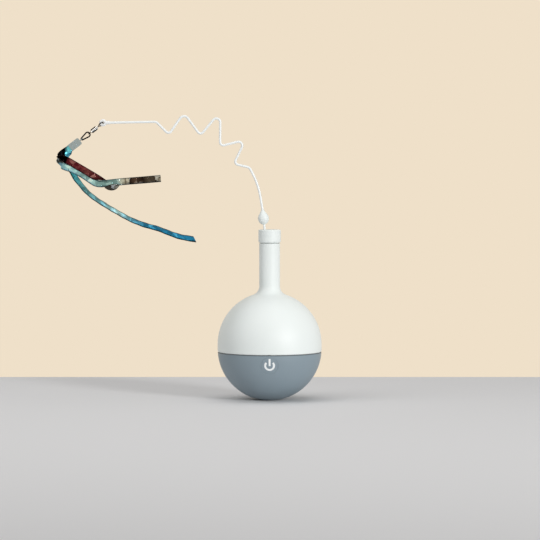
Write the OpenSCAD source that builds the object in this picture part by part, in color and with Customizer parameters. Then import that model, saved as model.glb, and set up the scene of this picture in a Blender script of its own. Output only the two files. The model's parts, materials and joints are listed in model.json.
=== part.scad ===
// Self-rotating cat ball toy: a weighted ball with a neck, whose motor turns a cap with a springy
// wand and foil ribbons. Millimetres. The origin is the middle of the flat under the ball, +Z runs
// up the neck, the power button faces -Y and the wand reaches out towards -X.

/* [Ball] */
// Diameter of the ball
ball_d = 80; // [76:0.5:90]
// Wall of both shells
wall = 2; // [1.6:0.1:2.4]
// Height of the straight band between the two half balls
band_h = 3.5; // [2:0.5:8]
// Diameter of the flat that the ball stands on
foot_d = 14; // [10:1:18]
// How far the seam lies below the middle of the lower half ball
seam_drop = 2.4; // [2:0.1:3]
// Bevel on both edges of the seam
seam_bevel = 0.5; // [0.2:0.1:0.7]
// Depth of the dome's spigot inside the bowl
spigot_h = 4.4; // [4:0.1:5]

/* [Neck and cap] */
// Diameter of the neck
neck_d = 16; // [14:0.5:20]
// Wall of the neck
neck_wall = 2; // [1.5:0.1:2.5]
// Height of the neck's shoulder above the middle of the dome
neck_rise = 77.6; // [70:0.5:90]
// Radius of the blend between dome and neck
neck_blend = 7; // [4:0.5:10]
// Diameter of the spinning cap
cap_d = 17.2; // [16:0.2:22]
// Height of the spinning cap
cap_h = 10.2; // [9:0.2:14]
// Open line between neck and cap
cap_gap = 0.3; // [0.2:0.05:0.6]

/* [Power button] */
// Diameter of the button
button_d = 13; // [11:0.5:15]
// Angle of the button below the ball's middle
button_tilt = 15; // [14:0.2:22]
// Travel of the button
button_travel = 0.5; // [0.3:0.1:0.8]
// Outside diameter of the power sign's ring
sign_d = 8.2; // [6:0.2:9]
// Stroke of the power sign
sign_stroke = 1.5; // [0.8:0.1:1.6]

/* [Drive] */
// Module of all gears
gear_module = 0.5; // [0.45:0.01:0.52]
// Teeth of each pinion
pinion_teeth = 12; // [12:12:12]
// Teeth of each large gear
wheel_teeth = 48; // [48:12:48]
// Width of the gear teeth
tooth_w = 2.6; // [2:0.1:3]
// Diameter of the output shaft
shaft_d = 3; // [2.5:0.1:3.4]
// Diameter of the motor can
motor_d = 12; // [10:0.5:13]
// Length of the motor can
motor_l = 15; // [12:0.5:16]

/* [Power supply] */
// Diameter of the battery cell
cell_d = 16; // [14:0.5:17]
// Length of the battery cell
cell_l = 34; // [30:0.5:35]
// Height of the ballast's top above the ground
ballast_top = 12; // [10:0.5:13]

/* [Wand] */
// Diameter of the wand's wire
wire_d = 1.8; // [1.4:0.1:2.2]
// Distance of the wand's socket from the cap's axis
wand_offset = 3.9; // [3.6:0.1:5]
// Depth of the wand's socket in the cap
socket_h = 5; // [4:0.2:5.4]
// Diameter of the drop-shaped bead
bead_d = 8.2; // [6:0.2:10]
// Diameter of the eyelet at the wand's end
eyelet_d = 5; // [4.6:0.1:5.2]

/* [Swivel, snap and clip] */
// Angle of the hanging chain below the horizon
chain_drop = 37.7; // [20:0.1:60]
// Wire of the swivel's eyes
eye_wire_d = 0.6; // [0.5:0.05:0.7]
// Diameter of the swivel's barrel
barrel_d = 2.4; // [2:0.1:3]
// Length of the swivel's barrel
barrel_l = 6.4; // [5:0.2:8]
// Wire of the snap
snap_wire_d = 0.9; // [0.6:0.05:0.95]
// Length of the snap between its two loops
snap_l = 7.9; // [6:0.1:10]
// Width of the ribbon clip
clip_w = 5.8; // [5.6:0.1:8]
// Length of the ribbon clip
clip_l = 9.5; // [7:0.1:12]

/* [Ribbons] */
// Width of the foil ribbons
ribbon_w = 5.4; // [4:0.1:5.6]
// Thickness of the foil ribbons
film_t = 0.3; // [0.2:0.02:0.32]

/* [Hidden] */
$fn = 64;

// Colours
white = "#f2f5f3";
grey = "#8a959b";
iron = "#54585c";
steel = "#c3c8cc";
brass = "#c9a45a";
board_green = "#2f6b48";
gear_white = "#e9e6da";
black = "#232528";

// Clearances: still fit, running fit, sliding fit, faces that rest on each other, overlap of a blend
fit = 0.02;
spin_fit = 0.03;
slide = 0.1;
rest = 0.05;
blend_slip = 0.002;

// Ball and neck
ball_r = ball_d / 2;
inner_r = ball_r - wall;
foot_r = foot_d / 2;
low_z = sqrt(ball_r * ball_r - foot_r * foot_r);
up_z = low_z + band_h;
seam_z = low_z - seam_drop;
neck_r = neck_d / 2;
neck_top = up_z + neck_rise;
blend_rise = sqrt(pow(ball_r + neck_blend, 2) - pow(neck_r + neck_blend, 2));

// Spigot and snap ring between the shells
rim_wall = 1.45;
spigot_wall = 1.5;
ring_r = 0.4;
ring_drop = spigot_h / 2;
seam_r = sqrt(ball_r * ball_r - seam_drop * seam_drop);
counter_r = seam_r - rim_wall;
spigot_r = counter_r - slide;
bevel_reach = 2;

// Plug of the neck, thrust washer and cap
plug_h = 3.5;
tip_h = 4;
tip_r = neck_r - 1.8;
bush_r = shaft_d / 2 + 1.5;
bush_l = plug_h + tip_h;
washer_h = 0.5;
cap_r = cap_d / 2;
cap_z = neck_top + cap_gap;
cap_top = cap_z + cap_h;
skirt_gap = 0.3;
cap_floor = neck_top + tip_h + washer_h + 2 * rest;
shaft_top = cap_top - 2;
cap_foot_round = 1.5;
cap_top_round = 0.7;

// Screws: thread, head and head height, lengths under the heads, free depth of a blind hole
screw_d = 2.4;
head_d = 4.4;
head_h = 1.5;
board_head_d = 3.8;
small_d = 1.6;
small_head_d = 2.8;
small_head_h = 1;
chassis_screw_l = 8;
board_screw_l = 6;
switch_screw_l = 5;
plate_screw_l = 6;
motor_screw_grip = 2;
motor_head_d = 2.6;
motor_head_h = 0.8;
boss_wall = 1.5;
boss_d = screw_d + 2 * boss_wall;
small_boss_d = small_d + 2 * boss_wall;
bore_room = 1.4;

// Gears: the two stages share one distance between their axes
gear_distance = gear_module * (pinion_teeth + wheel_teeth) / 2;
idler_angle = 30;
idler_at = gear_distance * [cos(idler_angle), sin(idler_angle)];
motor_at = [0, gear_distance];
wheel_r = gear_module * wheel_teeth / 2;
axle_d = 2;
motor_shaft_d = 1;
motor_half = 0.42 * motor_d;
motor_boss_d = 4;
motor_screw_x = 4;
endcap_h = 1.8;
bush_flange = 0.6;

// Heights of the chassis, gear stages and gear plate
chassis_z = seam_z + 1;
chassis_t = 2.4;
chassis_top = chassis_z + chassis_t;
chassis_r = ball_r - 7;
stage_gap = 0.8;
stage1_z = chassis_top + 1;
stage2_z = stage1_z + tooth_w + stage_gap;
plate_z = stage2_z + tooth_w + 2.2;
plate_t = 2;
pillar_r = 2.5;
pillar_gap = 0.5;
pillar_reach = wheel_r + gear_module + pillar_r + pillar_gap;
pillar_at = concat(
    [for (a = [211, 135]) pillar_reach * [cos(a), sin(a)]],
    [for (a = [105, 310]) idler_at + pillar_reach * [cos(a), sin(a)]]
);

// Ballast, battery and cradle
floor_pad = 3;
ballast_gap = 0.5;
ballast_roof = 4;
ballast_ring = 17;
ballast_angles = [90, 210, 330];
ballast_hole_z = low_z - ball_half(ball_r, ballast_ring + screw_d / 2) + 1.2;
cradle_t = 1.5;
cradle_z = ballast_top + rest;
cell_y = -12;
cell_lift = 2.5;
cell_z = cradle_z + cradle_t + cell_lift + cell_d / 2;
cell_round = 0.8;
contact_t = 0.4;
contact_w = 6;
contact_h = 11;
contact_drop = 4;
end_wall_t = 1.5;
end_wall_w = 7;
end_x = cell_l / 2 + contact_t + 2 * rest;
rib_t = 3;
rib_x = 8;
rib_margin = 0.8;
cradle_margin = 4.5;

// Main board and charging socket
board_z = 24;
board_t = 1.2;
board_w = 22;
board_l = 7;
board_room = 1.46;
board_back = ball_half(ball_half(inner_r, low_z - board_z), board_w / 2) - board_room;
board_front = board_back - board_l;
board_screw_at = [board_w / 2 - 2.5, board_back - 4];
socket_w = 9;
socket_h_usb = 3.2;
socket_l = 7.4;
socket_mouth = sqrt(ball_r * ball_r - pow(low_z - board_z - board_t - socket_h_usb / 2, 2)) - 1;
socket_wall = 0.35;
socket_back_t = 1;
tongue_w = 6.6;
tongue_t = 0.7;
tongue_short = 0.8;

// Posts that carry the chassis, clear of the board at the back and of the cell at the front
post_r = 3;
post_gap = 1;
post_ring = inner_r - 8;
back_post = acos((board_w / 2 + post_r + post_gap) / post_ring);
front_post = acos((end_x + end_wall_t + post_r + post_gap) / post_ring);
post_angles = [back_post, 180 - back_post, 180 + front_post, -front_post];

// Power button: heights along its own axis from the ball's middle
button_r = button_d / 2;
flange_r = button_r + 1.1;
flange_top = sqrt(inner_r * inner_r - flange_r * flange_r) - 0.08;
flange_t = 1.2;
flange_gap = 0.3;
notch_gap = 0.5;
stem_r = 1.9;
stem_end = flange_top - flange_t - 2.6;
sign_depth = 0.8;
sign_floor = sqrt(ball_r * ball_r - sign_d * sign_d / 4) - sign_depth;
sign_gap_angle = 94;
bar_l = 5.5;
bar_low = -0.2;
switch_h = 3.4;
switch_w = 6;
plunger_d = 3.4;
plunger_h = 1.2;
switch_top = stem_end - plunger_h;
switch_board_t = 1;
switch_board_top = switch_top - switch_h;
switch_board_back = switch_board_top - switch_board_t;
switch_board_w = 26;
switch_board_h = 9;
switch_screw_x = 10.4;

// Wand: bends relative to the middle of its socket's mouth, as [x, z, bend radius]
lead_in = 1.2;
bends = [
    [0, lead_in, 12],
    [-1.6, 15.8, 30],
    [-4.8, 35, 60],
    [-11.6, 47.7, 3.3],
    [-23.5, 50.6, 2.5],
    [-14.5, 69, 3],
    [-34.1, 64, 2.5],
    [-33.9, 90.7, 3],
    [-49.2, 72.3, 2.5],
    [-61.8, 89.6, 3.6],
    [-73.4, 73, 2.5],
    [-83.1, 82.8, 4]
];
eyelet_from_socket = [-124, 82];
wand_sides = 12;
arc_steps = 6;
wire_r = wire_d / 2;
sleeve_l = 3;
sleeve_wall = 0.45;
wand_foot = [-wand_offset, cap_top];
eyelet_at = wand_foot + eyelet_from_socket;
last_bend = wand_foot + [bends[11][0], bends[11][1]];
stem_tilt = atan2(bends[0][0] - bends[1][0], bends[1][1] - bends[0][1]);
bead_r = bead_d / 2;
bead_lift = 2.9;
bead_top = 14.1;
bead_lip = 0.5;
bead_taper = 25;
tip_gap = 0.3;

// Eyelet, swivel, snap and clip, along the hanging chain from the eyelet's middle
eyelet_t = 2;
eyelet_hole_d = 2.2;
eye_r = 1.9;
eye_wire_r = eye_wire_d / 2;
barrel_s = 2 * eye_r + 1.2;
barrel_end = barrel_s + barrel_l;
barrel_round = 0.4;
barrel_lid = 0.9;
rivet_h = 0.6;
rivet_room = 1;
tail_l = 2;
link_r = 1;
link_s = barrel_end + link_r + 0.6;
snap_wire_r = snap_wire_d / 2;
snap_wide_r = 1.85;
snap_narrow_r = 0.8;
clip_link_s = link_s + snap_l;
clip_gap = 0.4;
clip_s = clip_link_s + link_r + clip_gap;
clip_end = clip_s + clip_l;
leaf_t = 0.5;
fold_t = 1;
clip_round = 1.2;
clip_tail = clip_gap + fold_t / 2;
crimp_r = 0.25;
mouth_gap = 1.6;
tuck = 2;
layer_gap = 0.45;
lip = 1;

// Ribbons: stations relative to the clip's mouth, as [x, y, z, twist]. At twist 0 the film's face
// looks at -Y, at twist 90 the film is seen edge on.
red_run = [
    [-3.4, -0.1, -2.2, -178], [-6.4, -0.8, -4.4, -168], [-8.9, -2.2, -6.6, -135],
    [-9.4, -4, -8, -75], [-7.6, -5.2, -7.9, -40], [-4.4, -5.5, -8.1, -12], [0, -5.5, -10.3, 0],
    [6, -5.5, -13.8, 0], [13, -5.5, -17.8, 0], [20, -5.5, -21.6, 0], [26, -5.3, -23.9, 10]
];
silver_run = [
    [-3.2, 0.8, -3.2, -178], [-6.4, 1.6, -7, -165], [-8.6, 2.2, -10.8, -135],
    [-9, 1.4, -13.4, -80], [-7, 0, -14.6, -40], [-3, -1.6, -15.6, -14], [2.8, -2.6, -18, -4],
    [10.5, -2.8, -22.2, 0], [17.5, -2.8, -26.1, 0], [23, -2.8, -27.3, 6], [30, -2.8, -26.6, 4],
    [37.5, -2.8, -25.9, 0], [45.5, -2.8, -25.2, 0], [57, -2.8, -24.3, 0], [69.6, -2.8, -23.2, 0]
];
blue_run = [
    [-2, -0.9, -3.4, 8], [-2.2, -0.2, -7.2, 20], [-1.6, 2, -11, 30], [-0.4, 3.8, -14.6, 36],
    [1.3, 4.4, -17.8, 40], [3.9, 4.4, -22.8, 44], [8.2, 4.4, -28.4, 50], [12.1, 4.4, -33, 52],
    [16.2, 4.4, -36.6, 54], [20.6, 4.4, -39.9, 55], [26, 4.2, -43.3, 55], [31.4, 4, -46.6, 55],
    [37.5, 4, -50.1, 55], [43.6, 4, -53.5, 54], [49, 4, -56, 52], [54.4, 4, -58.1, 50],
    [59.6, 4, -59.8, 50], [66, 4, -61.5, 50], [72.8, 4, -64, 50], [78.4, 4, -66.2, 48],
    [84.4, 4, -68.1, 45], [90, 4, -69.2, 42], [95.5, 4, -70.1, 40]
];
ribbon_steps = 2;

// Leads: insulated wire and its sides
lead_d = 1;
lead_sides = 6;

// Half width of a ball of radius r at a height dz from its middle
function ball_half(r, dz) = sqrt(r * r - dz * dz);

function unit(v) = v / norm(v);

// Point list of a rounded corner at b between a and c
function corner_arc(a, b, c, r, steps) =
    let (
        ua = unit(a - b),
        uc = unit(c - b),
        half = acos(ua * uc) / 2,
        middle = b + unit(ua + uc) * r / sin(half),
        from = b + ua * r / tan(half) - middle,
        to = b + uc * r / tan(half) - middle,
        turn = 180 - 2 * half
    )
    [
        for (i = [0:steps])
            let (done = i / steps * turn)
            middle + (sin(turn - done) * from + sin(done) * to) / sin(turn)
    ];

// Direction of a path at its point i
function heading(path, i) =
    unit(path[min(i + 1, len(path) - 1)] - path[max(i - 1, 0)]);

// Triangles between the rings of a swept tube, and its two closed ends
function tube_faces(rings, sides, closed) = [
    for (i = [0:rings - (closed ? 1 : 2)], k = [0:sides - 1])
        let (
            near = i * sides,
            far = ((i + 1) % rings) * sides,
            next = (k + 1) % sides
        )
        each [[near + k, far + k, near + next], [near + next, far + k, far + next]],
    if (!closed) each [for (k = [1:sides - 2]) [0, k, k + 1]],
    if (!closed) each [for (k = [1:sides - 2]) let (b = (rings - 1) * sides) [b, b + k + 1, b + k]]
];

// Round tube along points that lie in a plane of constant y
module flat_tube(path, r, sides, closed = false) {
    rings = len(path);
    points = [
        for (i = [0:rings - 1])
            let (
                ahead = closed
                    ? unit(path[(i + 1) % rings] - path[(i + rings - 1) % rings])
                    : heading(path, i),
                across = cross(ahead, [0, 1, 0])
            )
            for (k = [0:sides - 1])
                path[i] + r * (cos(360 * k / sides) * across + sin(360 * k / sides) * [0, 1, 0])
    ];
    polyhedron(points, tube_faces(rings, sides, closed));
}

// Round tube along a free path that never runs straight up
module free_tube(path, r, sides) {
    rings = len(path);
    points = [
        for (i = [0:rings - 1])
            let (
                ahead = heading(path, i),
                across = unit(cross(ahead, [0, 0, 1])),
                upright = cross(across, ahead)
            )
            for (k = [0:sides - 1])
                path[i] + r * (cos(360 * k / sides) * across + sin(360 * k / sides) * upright)
    ];
    polyhedron(points, tube_faces(rings, sides, false));
}

// Value on a smooth curve between b and c, with a and d as its neighbours
function eased(a, b, c, d, t) =
    b + 0.5 * t * (c - a + t * (2 * a - 5 * b + 4 * c - d + t * (3 * (b - c) + d - a)));

// Stations with smooth ones added between them
function smooth_run(run, steps) =
    let (last = len(run) - 1)
    concat(
        [
            for (i = [0:last - 1], j = [0:steps - 1])
                eased(run[max(i - 1, 0)], run[i], run[i + 1], run[min(i + 2, last)], j / steps)
        ],
        [run[last]]
    );

// Flat strip along stations of [x, y, z, twist]
module film_strip(run, width, thickness) {
    rings = len(run);
    line = [for (p = run) [p[0], p[1], p[2]]];
    points = [
        for (i = [0:rings - 1])
            let (
                ahead = heading(line, i),
                level = unit(cross(ahead, [0, 1, 0])),
                depth = cross(level, ahead),
                across = cos(run[i][3]) * level + sin(run[i][3]) * depth,
                face = cross(ahead, across)
            )
            for (corner = [[1, 1], [-1, 1], [-1, -1], [1, -1]])
                line[i] + corner[0] * width / 2 * across + corner[1] * thickness / 2 * face
    ];
    polyhedron(points, tube_faces(rings, 4, false));
}

// Bar of revolution with rounded lower and upper outer edges, as a half outline
module rounded_half(r, z0, z1, low, top) {
    intersection() {
        union() {
            translate([0, z0 + low]) square([r, z1 - z0 - low - top]);
            translate([0, z0]) square([r - max(low, top), z1 - z0]);
            translate([r - low, z0 + low]) circle(low + blend_slip);
            translate([r - top, z1 - top]) circle(top + blend_slip);
            translate([0, z1 - top]) square([r - top, top]);
            translate([0, z0]) square([r - low, low]);
        }
        translate([0, z0]) square([r + 1, z1 - z0]);
    }
}

// Half outline of the flask: two half balls, the band between them and the neck
module flask_half(r, throat_r, top) {
    intersection() {
        union() {
            translate([0, low_z]) circle(r);
            translate([0, up_z]) circle(r);
            translate([0, low_z]) square([r - blend_slip, band_h]);
            translate([0, up_z]) square([throat_r, top - up_z]);
        }
        translate([0, low_z - r]) square([r + 1, top - low_z + r]);
    }
}

// Half outline of the blend between dome and neck
module neck_blend_half() {
    middle = [neck_r + neck_blend, up_z + blend_rise];
    difference() {
        polygon([[0, up_z], middle, [0, middle[1]]]);
        translate(middle) circle(neck_blend + blend_slip);
    }
}

// Pan-head screw along -Z with the underside of its head at z 0
module pan_screw(d, l, head, height) {
    translate([0, 0, -l]) cylinder(d = d, h = l);
    difference() {
        cylinder(d = head, h = height);
        translate([0, 0, height / 2]) cylinder(d = head / 2, h = height, $fn = 6);
    }
}

// Children turned about the axis of the button, outwards along +Z, from the ball's middle
module at_button() {
    translate([0, 0, low_z]) rotate([90 + button_tilt, 0, 0]) children();
}

// Place of a point given along the button's own axes
function on_button(x, y, z) = [
    x,
    -sin(button_tilt) * y - cos(button_tilt) * z,
    low_z + cos(button_tilt) * y - sin(button_tilt) * z
];

// Children along the hanging chain, +X down the chain, at a distance s from the eyelet
module at_chain(s) {
    translate([eyelet_at[0], 0, eyelet_at[1]]) rotate([0, 180 - chain_drop, 0])
        translate([s, 0, 0]) children();
}

// Children on the wand's stem, +Z along the stem
module at_stem() {
    translate([wand_foot[0], 0, wand_foot[1] + lead_in]) rotate([0, -stem_tilt, 0]) children();
}

module at_posts(ring, angles, z) {
    for (a = angles) translate([ring * cos(a), ring * sin(a), z]) children();
}

// Ball about the origin, with its poles out of the way of the button
module button_ball(r) {
    rotate([0, 90, 0]) sphere(r, $fn = 4 * $fn);
}

// Ring of round wire about Z
module wire_ring(middle_r, r) {
    rotate_extrude() translate([middle_r, 0]) circle(r);
}

// Half outline of the bowl
module bowl_half() {
    difference() {
        intersection() {
            translate([0, low_z]) circle(ball_r);
            square([ball_r + 1, seam_z]);
        }
        difference() {
            translate([0, low_z]) circle(inner_r);
            translate([0, low_z - ball_r])
                square([ballast_ring - boss_d / 2 - bore_room, ball_r - low_z + floor_pad]);
        }
        translate([0, seam_z - spigot_h - rest]) square([counter_r, spigot_h + 1]);
        translate([counter_r, seam_z - ring_drop]) circle(ring_r + slide);
        polygon([
            [seam_r - seam_bevel, seam_z],
            [seam_r + bevel_reach, seam_z + bevel_reach / 2],
            [seam_r + bevel_reach, seam_z - seam_bevel - bevel_reach]
        ]);
    }
}

module lower_shell() color(grey) difference() {
    union() {
        rotate_extrude() bowl_half();
        intersection() {
            translate([0, 0, low_z]) sphere(ball_r - wall / 2);
            union() {
                at_posts(post_ring, post_angles, 0) cylinder(r = post_r, h = chassis_z - rest);
                at_posts(ballast_ring, ballast_angles, 0)
                    cylinder(d = boss_d, h = ballast_top - ballast_roof);
                for (side = [-1, 1]) translate([side * board_screw_at[0], board_screw_at[1], 0])
                    cylinder(d = boss_d, h = board_z - rest);
                at_button() for (side = [-1, 1])
                    translate([side * switch_screw_x, 0, switch_board_top + rest])
                        cylinder(d = small_boss_d, h = ball_r);
            }
        }
    }
    at_button() cylinder(r = button_r + slide, h = ball_r + 1);
    at_button() translate([0, 0, flange_top - flange_t - 1])
        cylinder(r = flange_r + flange_gap, h = 1 + flange_t);
    at_posts(post_ring, post_angles, chassis_top - chassis_screw_l - bore_room)
        cylinder(d = screw_d + 2 * fit, h = chassis_screw_l + bore_room);
    at_posts(ballast_ring, ballast_angles, ballast_hole_z) cylinder(d = screw_d + 2 * fit, h = ballast_top);
    for (side = [-1, 1])
        translate([side * board_screw_at[0], board_screw_at[1], board_z - board_screw_l])
            cylinder(d = screw_d + 2 * fit, h = 2 * board_screw_l);
    at_button() for (side = [-1, 1]) translate([side * switch_screw_x, 0, 0])
        cylinder(d = small_d + 2 * fit, h = switch_board_back + switch_screw_l + bore_room);
    usb_block(socket_w + 2 * slide, socket_h_usb + 2 * slide, socket_mouth - socket_l, ball_r + 1);
}

// Half outline of the dome, neck and neck tip
module dome_half() {
    difference() {
        intersection() {
            union() {
                flask_half(ball_r, neck_r, neck_top);
                neck_blend_half();
            }
            translate([0, seam_z + rest]) square([ball_r + 1, neck_top]);
        }
        flask_half(inner_r, neck_r - neck_wall, neck_top - plug_h);
        polygon([
            [seam_r - seam_bevel, seam_z + rest],
            [seam_r + bevel_reach, seam_z + rest - bevel_reach / 2],
            [seam_r + bevel_reach, seam_z + rest + seam_bevel + bevel_reach]
        ]);
    }
    translate([spigot_r - spigot_wall, seam_z - spigot_h]) square([spigot_wall, spigot_h + seam_drop]);
    translate([spigot_r, seam_z - ring_drop]) circle(ring_r);
    translate([0, neck_top - 1]) square([tip_r, tip_h + 1]);
}

module upper_shell() color(white) difference() {
    rotate_extrude() dome_half();
    translate([0, 0, neck_top - plug_h - 1]) cylinder(r = bush_r + fit, h = bush_l + 2);
    at_button() translate([0, 0, spigot_r - 3 * spigot_wall])
        cylinder(r = flange_r + notch_gap, h = ball_r);
}

// Power sign as a raised shape on the button: a ring open at the top and a bar in the gap
module power_sign(grow) {
    swell = grow / (sign_d - sign_stroke) * 360 / PI;
    base = sign_floor - grow;
    rotate_extrude(angle = 360 - sign_gap_angle + 2 * swell, start = 90 + sign_gap_angle / 2 - swell)
        intersection() {
            translate([sign_d / 2 - sign_stroke - grow, base]) square([sign_stroke + 2 * grow, ball_r]);
            circle(ball_r + grow, $fn = 4 * $fn);
        }
    intersection() {
        translate([-sign_stroke / 2 - grow, bar_low - grow, base])
            cube([sign_stroke + 2 * grow, bar_l + 2 * grow, ball_r]);
        button_ball(ball_r + grow);
    }
}

module power_button() color(grey) at_button() difference() {
    union() {
        intersection() {
            translate([0, 0, flange_top - flange_t]) cylinder(r = button_r, h = ball_r);
            button_ball(ball_r);
        }
        translate([0, 0, flange_top - flange_t]) cylinder(r = flange_r, h = flange_t);
        translate([0, 0, stem_end]) cylinder(r = stem_r, h = flange_top - stem_end);
    }
    power_sign(fit);
}

module icon_inlay() color(white) at_button() power_sign(0);

module spinner_cap() color(white) difference() {
    rotate_extrude() rounded_half(cap_r, cap_z, cap_top, cap_foot_round, cap_top_round);
    translate([0, 0, cap_z - 1]) cylinder(r = tip_r + skirt_gap, h = cap_floor - cap_z + 1);
    cylinder(d = shaft_d + 2 * fit, h = shaft_top + rest);
    translate([-wand_offset, 0, cap_top - socket_h]) cylinder(d = wire_d + 2 * fit, h = socket_h + 1);
}

module wand() color(white) {
    corners = [for (b = bends) wand_foot + [b[0], b[1]]];
    foot = wand_foot - [0, socket_h - rest];
    to_sleeve = unit(last_bend - eyelet_at);
    tip = eyelet_at + to_sleeve * (eyelet_d / 2 + tip_gap);
    line = concat([foot], corners, [tip]);
    bent = [
        for (i = [1:len(line) - 2])
            each corner_arc(line[i - 1], line[i], line[i + 1], bends[i - 1][2], arc_steps)
    ];
    path = [for (p = concat([foot], bent, [tip])) [p[0], 0, p[1]]];
    flat_tube(path, wire_r, wand_sides);
}

module wand_bead() color(white) at_stem() difference() {
    middle = bead_lift + bead_r;
    rotate_extrude() intersection() {
        union() {
            translate([0, middle]) circle(bead_r);
            polygon([
                [0, middle],
                [bead_r * cos(bead_taper), middle + bead_r * sin(bead_taper)],
                [wire_r + bead_lip, bead_top],
                [0, bead_top]
            ]);
        }
        square([bead_r + 1, bead_top + 1]);
    }
    cylinder(r = wire_r + fit, h = bead_top + 1);
}

module wand_eyelet() color(white) {
    back = last_bend - eyelet_at;
    rise = atan2(back[1], back[0]);
    translate([eyelet_at[0], 0, eyelet_at[1]]) rotate([0, -rise, 0]) difference() {
        union() {
            rotate([90, 0, 0]) translate([0, 0, -eyelet_t / 2]) cylinder(d = eyelet_d, h = eyelet_t);
            rotate([0, 90, 0]) cylinder(r = wire_r + sleeve_wall, h = eyelet_d / 2 + sleeve_l);
        }
        rotate([90, 0, 0]) translate([0, 0, -eyelet_t]) cylinder(d = eyelet_hole_d, h = 2 * eyelet_t);
        translate([eyelet_d / 2 + tip_gap - rest, 0, 0]) rotate([0, 90, 0])
            cylinder(r = wire_r + fit, h = sleeve_l + 1);
    }
}

module swivel_eye() color(steel) at_chain(0) {
    translate([eye_r, 0, 0]) wire_ring(eye_r, eye_wire_r);
    translate([2 * eye_r, 0, 0]) rotate([0, 90, 0])
        cylinder(r = eye_wire_r, h = barrel_s + barrel_lid + rivet_h / 2 - 2 * eye_r);
    translate([barrel_s + barrel_lid + slide, 0, 0]) rotate([0, 90, 0])
        cylinder(r = 2 * eye_wire_r, h = rivet_h);
}

module swivel_barrel() color(steel) at_chain(barrel_s) rotate([0, 90, 0]) difference() {
    rotate_extrude() rounded_half(barrel_d / 2, 0, barrel_l, barrel_round, barrel_round);
    translate([0, 0, -1]) cylinder(r = eye_wire_r + spin_fit, h = 1 + barrel_lid + rivet_room);
    translate([0, 0, barrel_lid]) cylinder(r = 2 * eye_wire_r + spin_fit, h = rivet_room);
    translate([0, 0, barrel_l - tail_l]) cylinder(r = eye_wire_r + fit, h = tail_l + 1);
}

module snap_eye() color(steel) at_chain(0) {
    translate([link_s, 0, 0]) wire_ring(link_r, eye_wire_r);
    translate([barrel_end - tail_l + rest, 0, 0]) rotate([0, 90, 0])
        cylinder(r = eye_wire_r, h = link_s - link_r - barrel_end + tail_l);
}

module snap() color(steel) at_chain(link_s) {
    far_x = snap_l - snap_narrow_r;
    lean = asin((snap_wide_r - snap_narrow_r) / (far_x - snap_wide_r));
    wide = [
        for (a = [90 - lean:(180 + 2 * lean) / 10:270 + lean + 0.01])
            [snap_wide_r + snap_wide_r * cos(a), 0, snap_wide_r * sin(a)]
    ];
    narrow = [
        for (a = [-90 + lean:(180 - 2 * lean) / 8:90 - lean + 0.01])
            [far_x + snap_narrow_r * cos(a), 0, snap_narrow_r * sin(a)]
    ];
    flat_tube(concat(wide, narrow), snap_wire_r, 8, true);
}

// Outline of the clip, with the corners of its folded end rounded
module clip_plan() {
    half = clip_w / 2;
    intersection() {
        union() {
            translate([clip_round, -half]) square([clip_l - clip_round, clip_w]);
            translate([0, clip_round - half]) square([clip_l, clip_w - 2 * clip_round]);
            for (side = [-1, 1])
                translate([clip_round, side * (half - clip_round)]) circle(clip_round + blend_slip);
        }
        translate([0, -half]) square([clip_l, clip_w]);
    }
}

module ribbon_clip() color(grey) at_chain(0) {
    depth = mouth_gap + 2 * leaf_t;
    translate([clip_link_s, 0, 0]) wire_ring(link_r, eye_wire_r);
    translate([clip_link_s + link_r, 0, 0]) rotate([0, 90, 0]) cylinder(r = eye_wire_r, h = clip_tail);
    difference() {
        translate([clip_s, 0, 0]) rotate([90, 0, 0]) linear_extrude(depth, center = true) clip_plan();
        translate([clip_s + fold_t, -mouth_gap / 2, -clip_w]) cube([clip_l, mouth_gap, 2 * clip_w]);
        for (side = [-1, 1], step = [0.4, 0.7])
            translate([clip_s + step * clip_l, side * depth / 2, 0])
                cylinder(r = crimp_r, h = 2 * clip_w, center = true);
    }
}

// Film from inside the clip, at layer y, out through its mouth and along a run of stations. A film
// with turn -180 leaves the mouth with its reverse to the front.
module foil_ribbon(run, layer, turn) {
    along = [-cos(chain_drop), 0, -sin(chain_drop)];
    mouth = [eyelet_at[0], 0, eyelet_at[1]] + clip_end * along;
    inside = mouth - (clip_l - tuck) * along + [0, layer, 0];
    edge = mouth + lip * along + [0, layer, 0];
    stations = concat(
        [[inside[0], inside[1], inside[2], turn], [edge[0], edge[1], edge[2], turn]],
        [for (p = run) [mouth[0] + p[0], p[1], mouth[2] + p[2], p[3]]]
    );
    film_strip(smooth_run(stations, ribbon_steps), ribbon_w, film_t);
}

module ribbon_red() color("#7a2530") foil_ribbon(red_run, 0, -180);

module ribbon_silver() color("#8db0b4") foil_ribbon(silver_run, layer_gap, -180);

module ribbon_blue() color("#2f8fb4") foil_ribbon(blue_run, -layer_gap, 0);

module ballast() color(iron) difference() {
    rotate_extrude() intersection() {
        translate([0, low_z]) circle(inner_r - ballast_gap);
        translate([0, floor_pad + rest]) square([ball_r, ballast_top - floor_pad - rest]);
    }
    at_posts(ballast_ring, ballast_angles, 0)
        cylinder(d = boss_d + 2 * slide, h = ballast_top - ballast_roof + rest);
    at_posts(ballast_ring, ballast_angles, 0) cylinder(d = screw_d + 2 * slide, h = ballast_top + 1);
    for (side = [-1, 1]) translate([side * board_screw_at[0], board_screw_at[1], 0])
        cylinder(d = boss_d + 2 * slide, h = ballast_top + 1);
}

module ballast_screws() color(steel)
    at_posts(ballast_ring, ballast_angles, cradle_z + cradle_t + rest)
        pan_screw(screw_d, cradle_z + cradle_t - ballast_hole_z - ballast_gap, head_d, head_h);

// Cylinder of the cell's place, with room all round
module cell_room(gap) {
    translate([-cell_l / 2 - gap, cell_y, cell_z]) rotate([0, 90, 0])
        cylinder(d = cell_d + 2 * gap, h = cell_l + 2 * gap);
}

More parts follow.
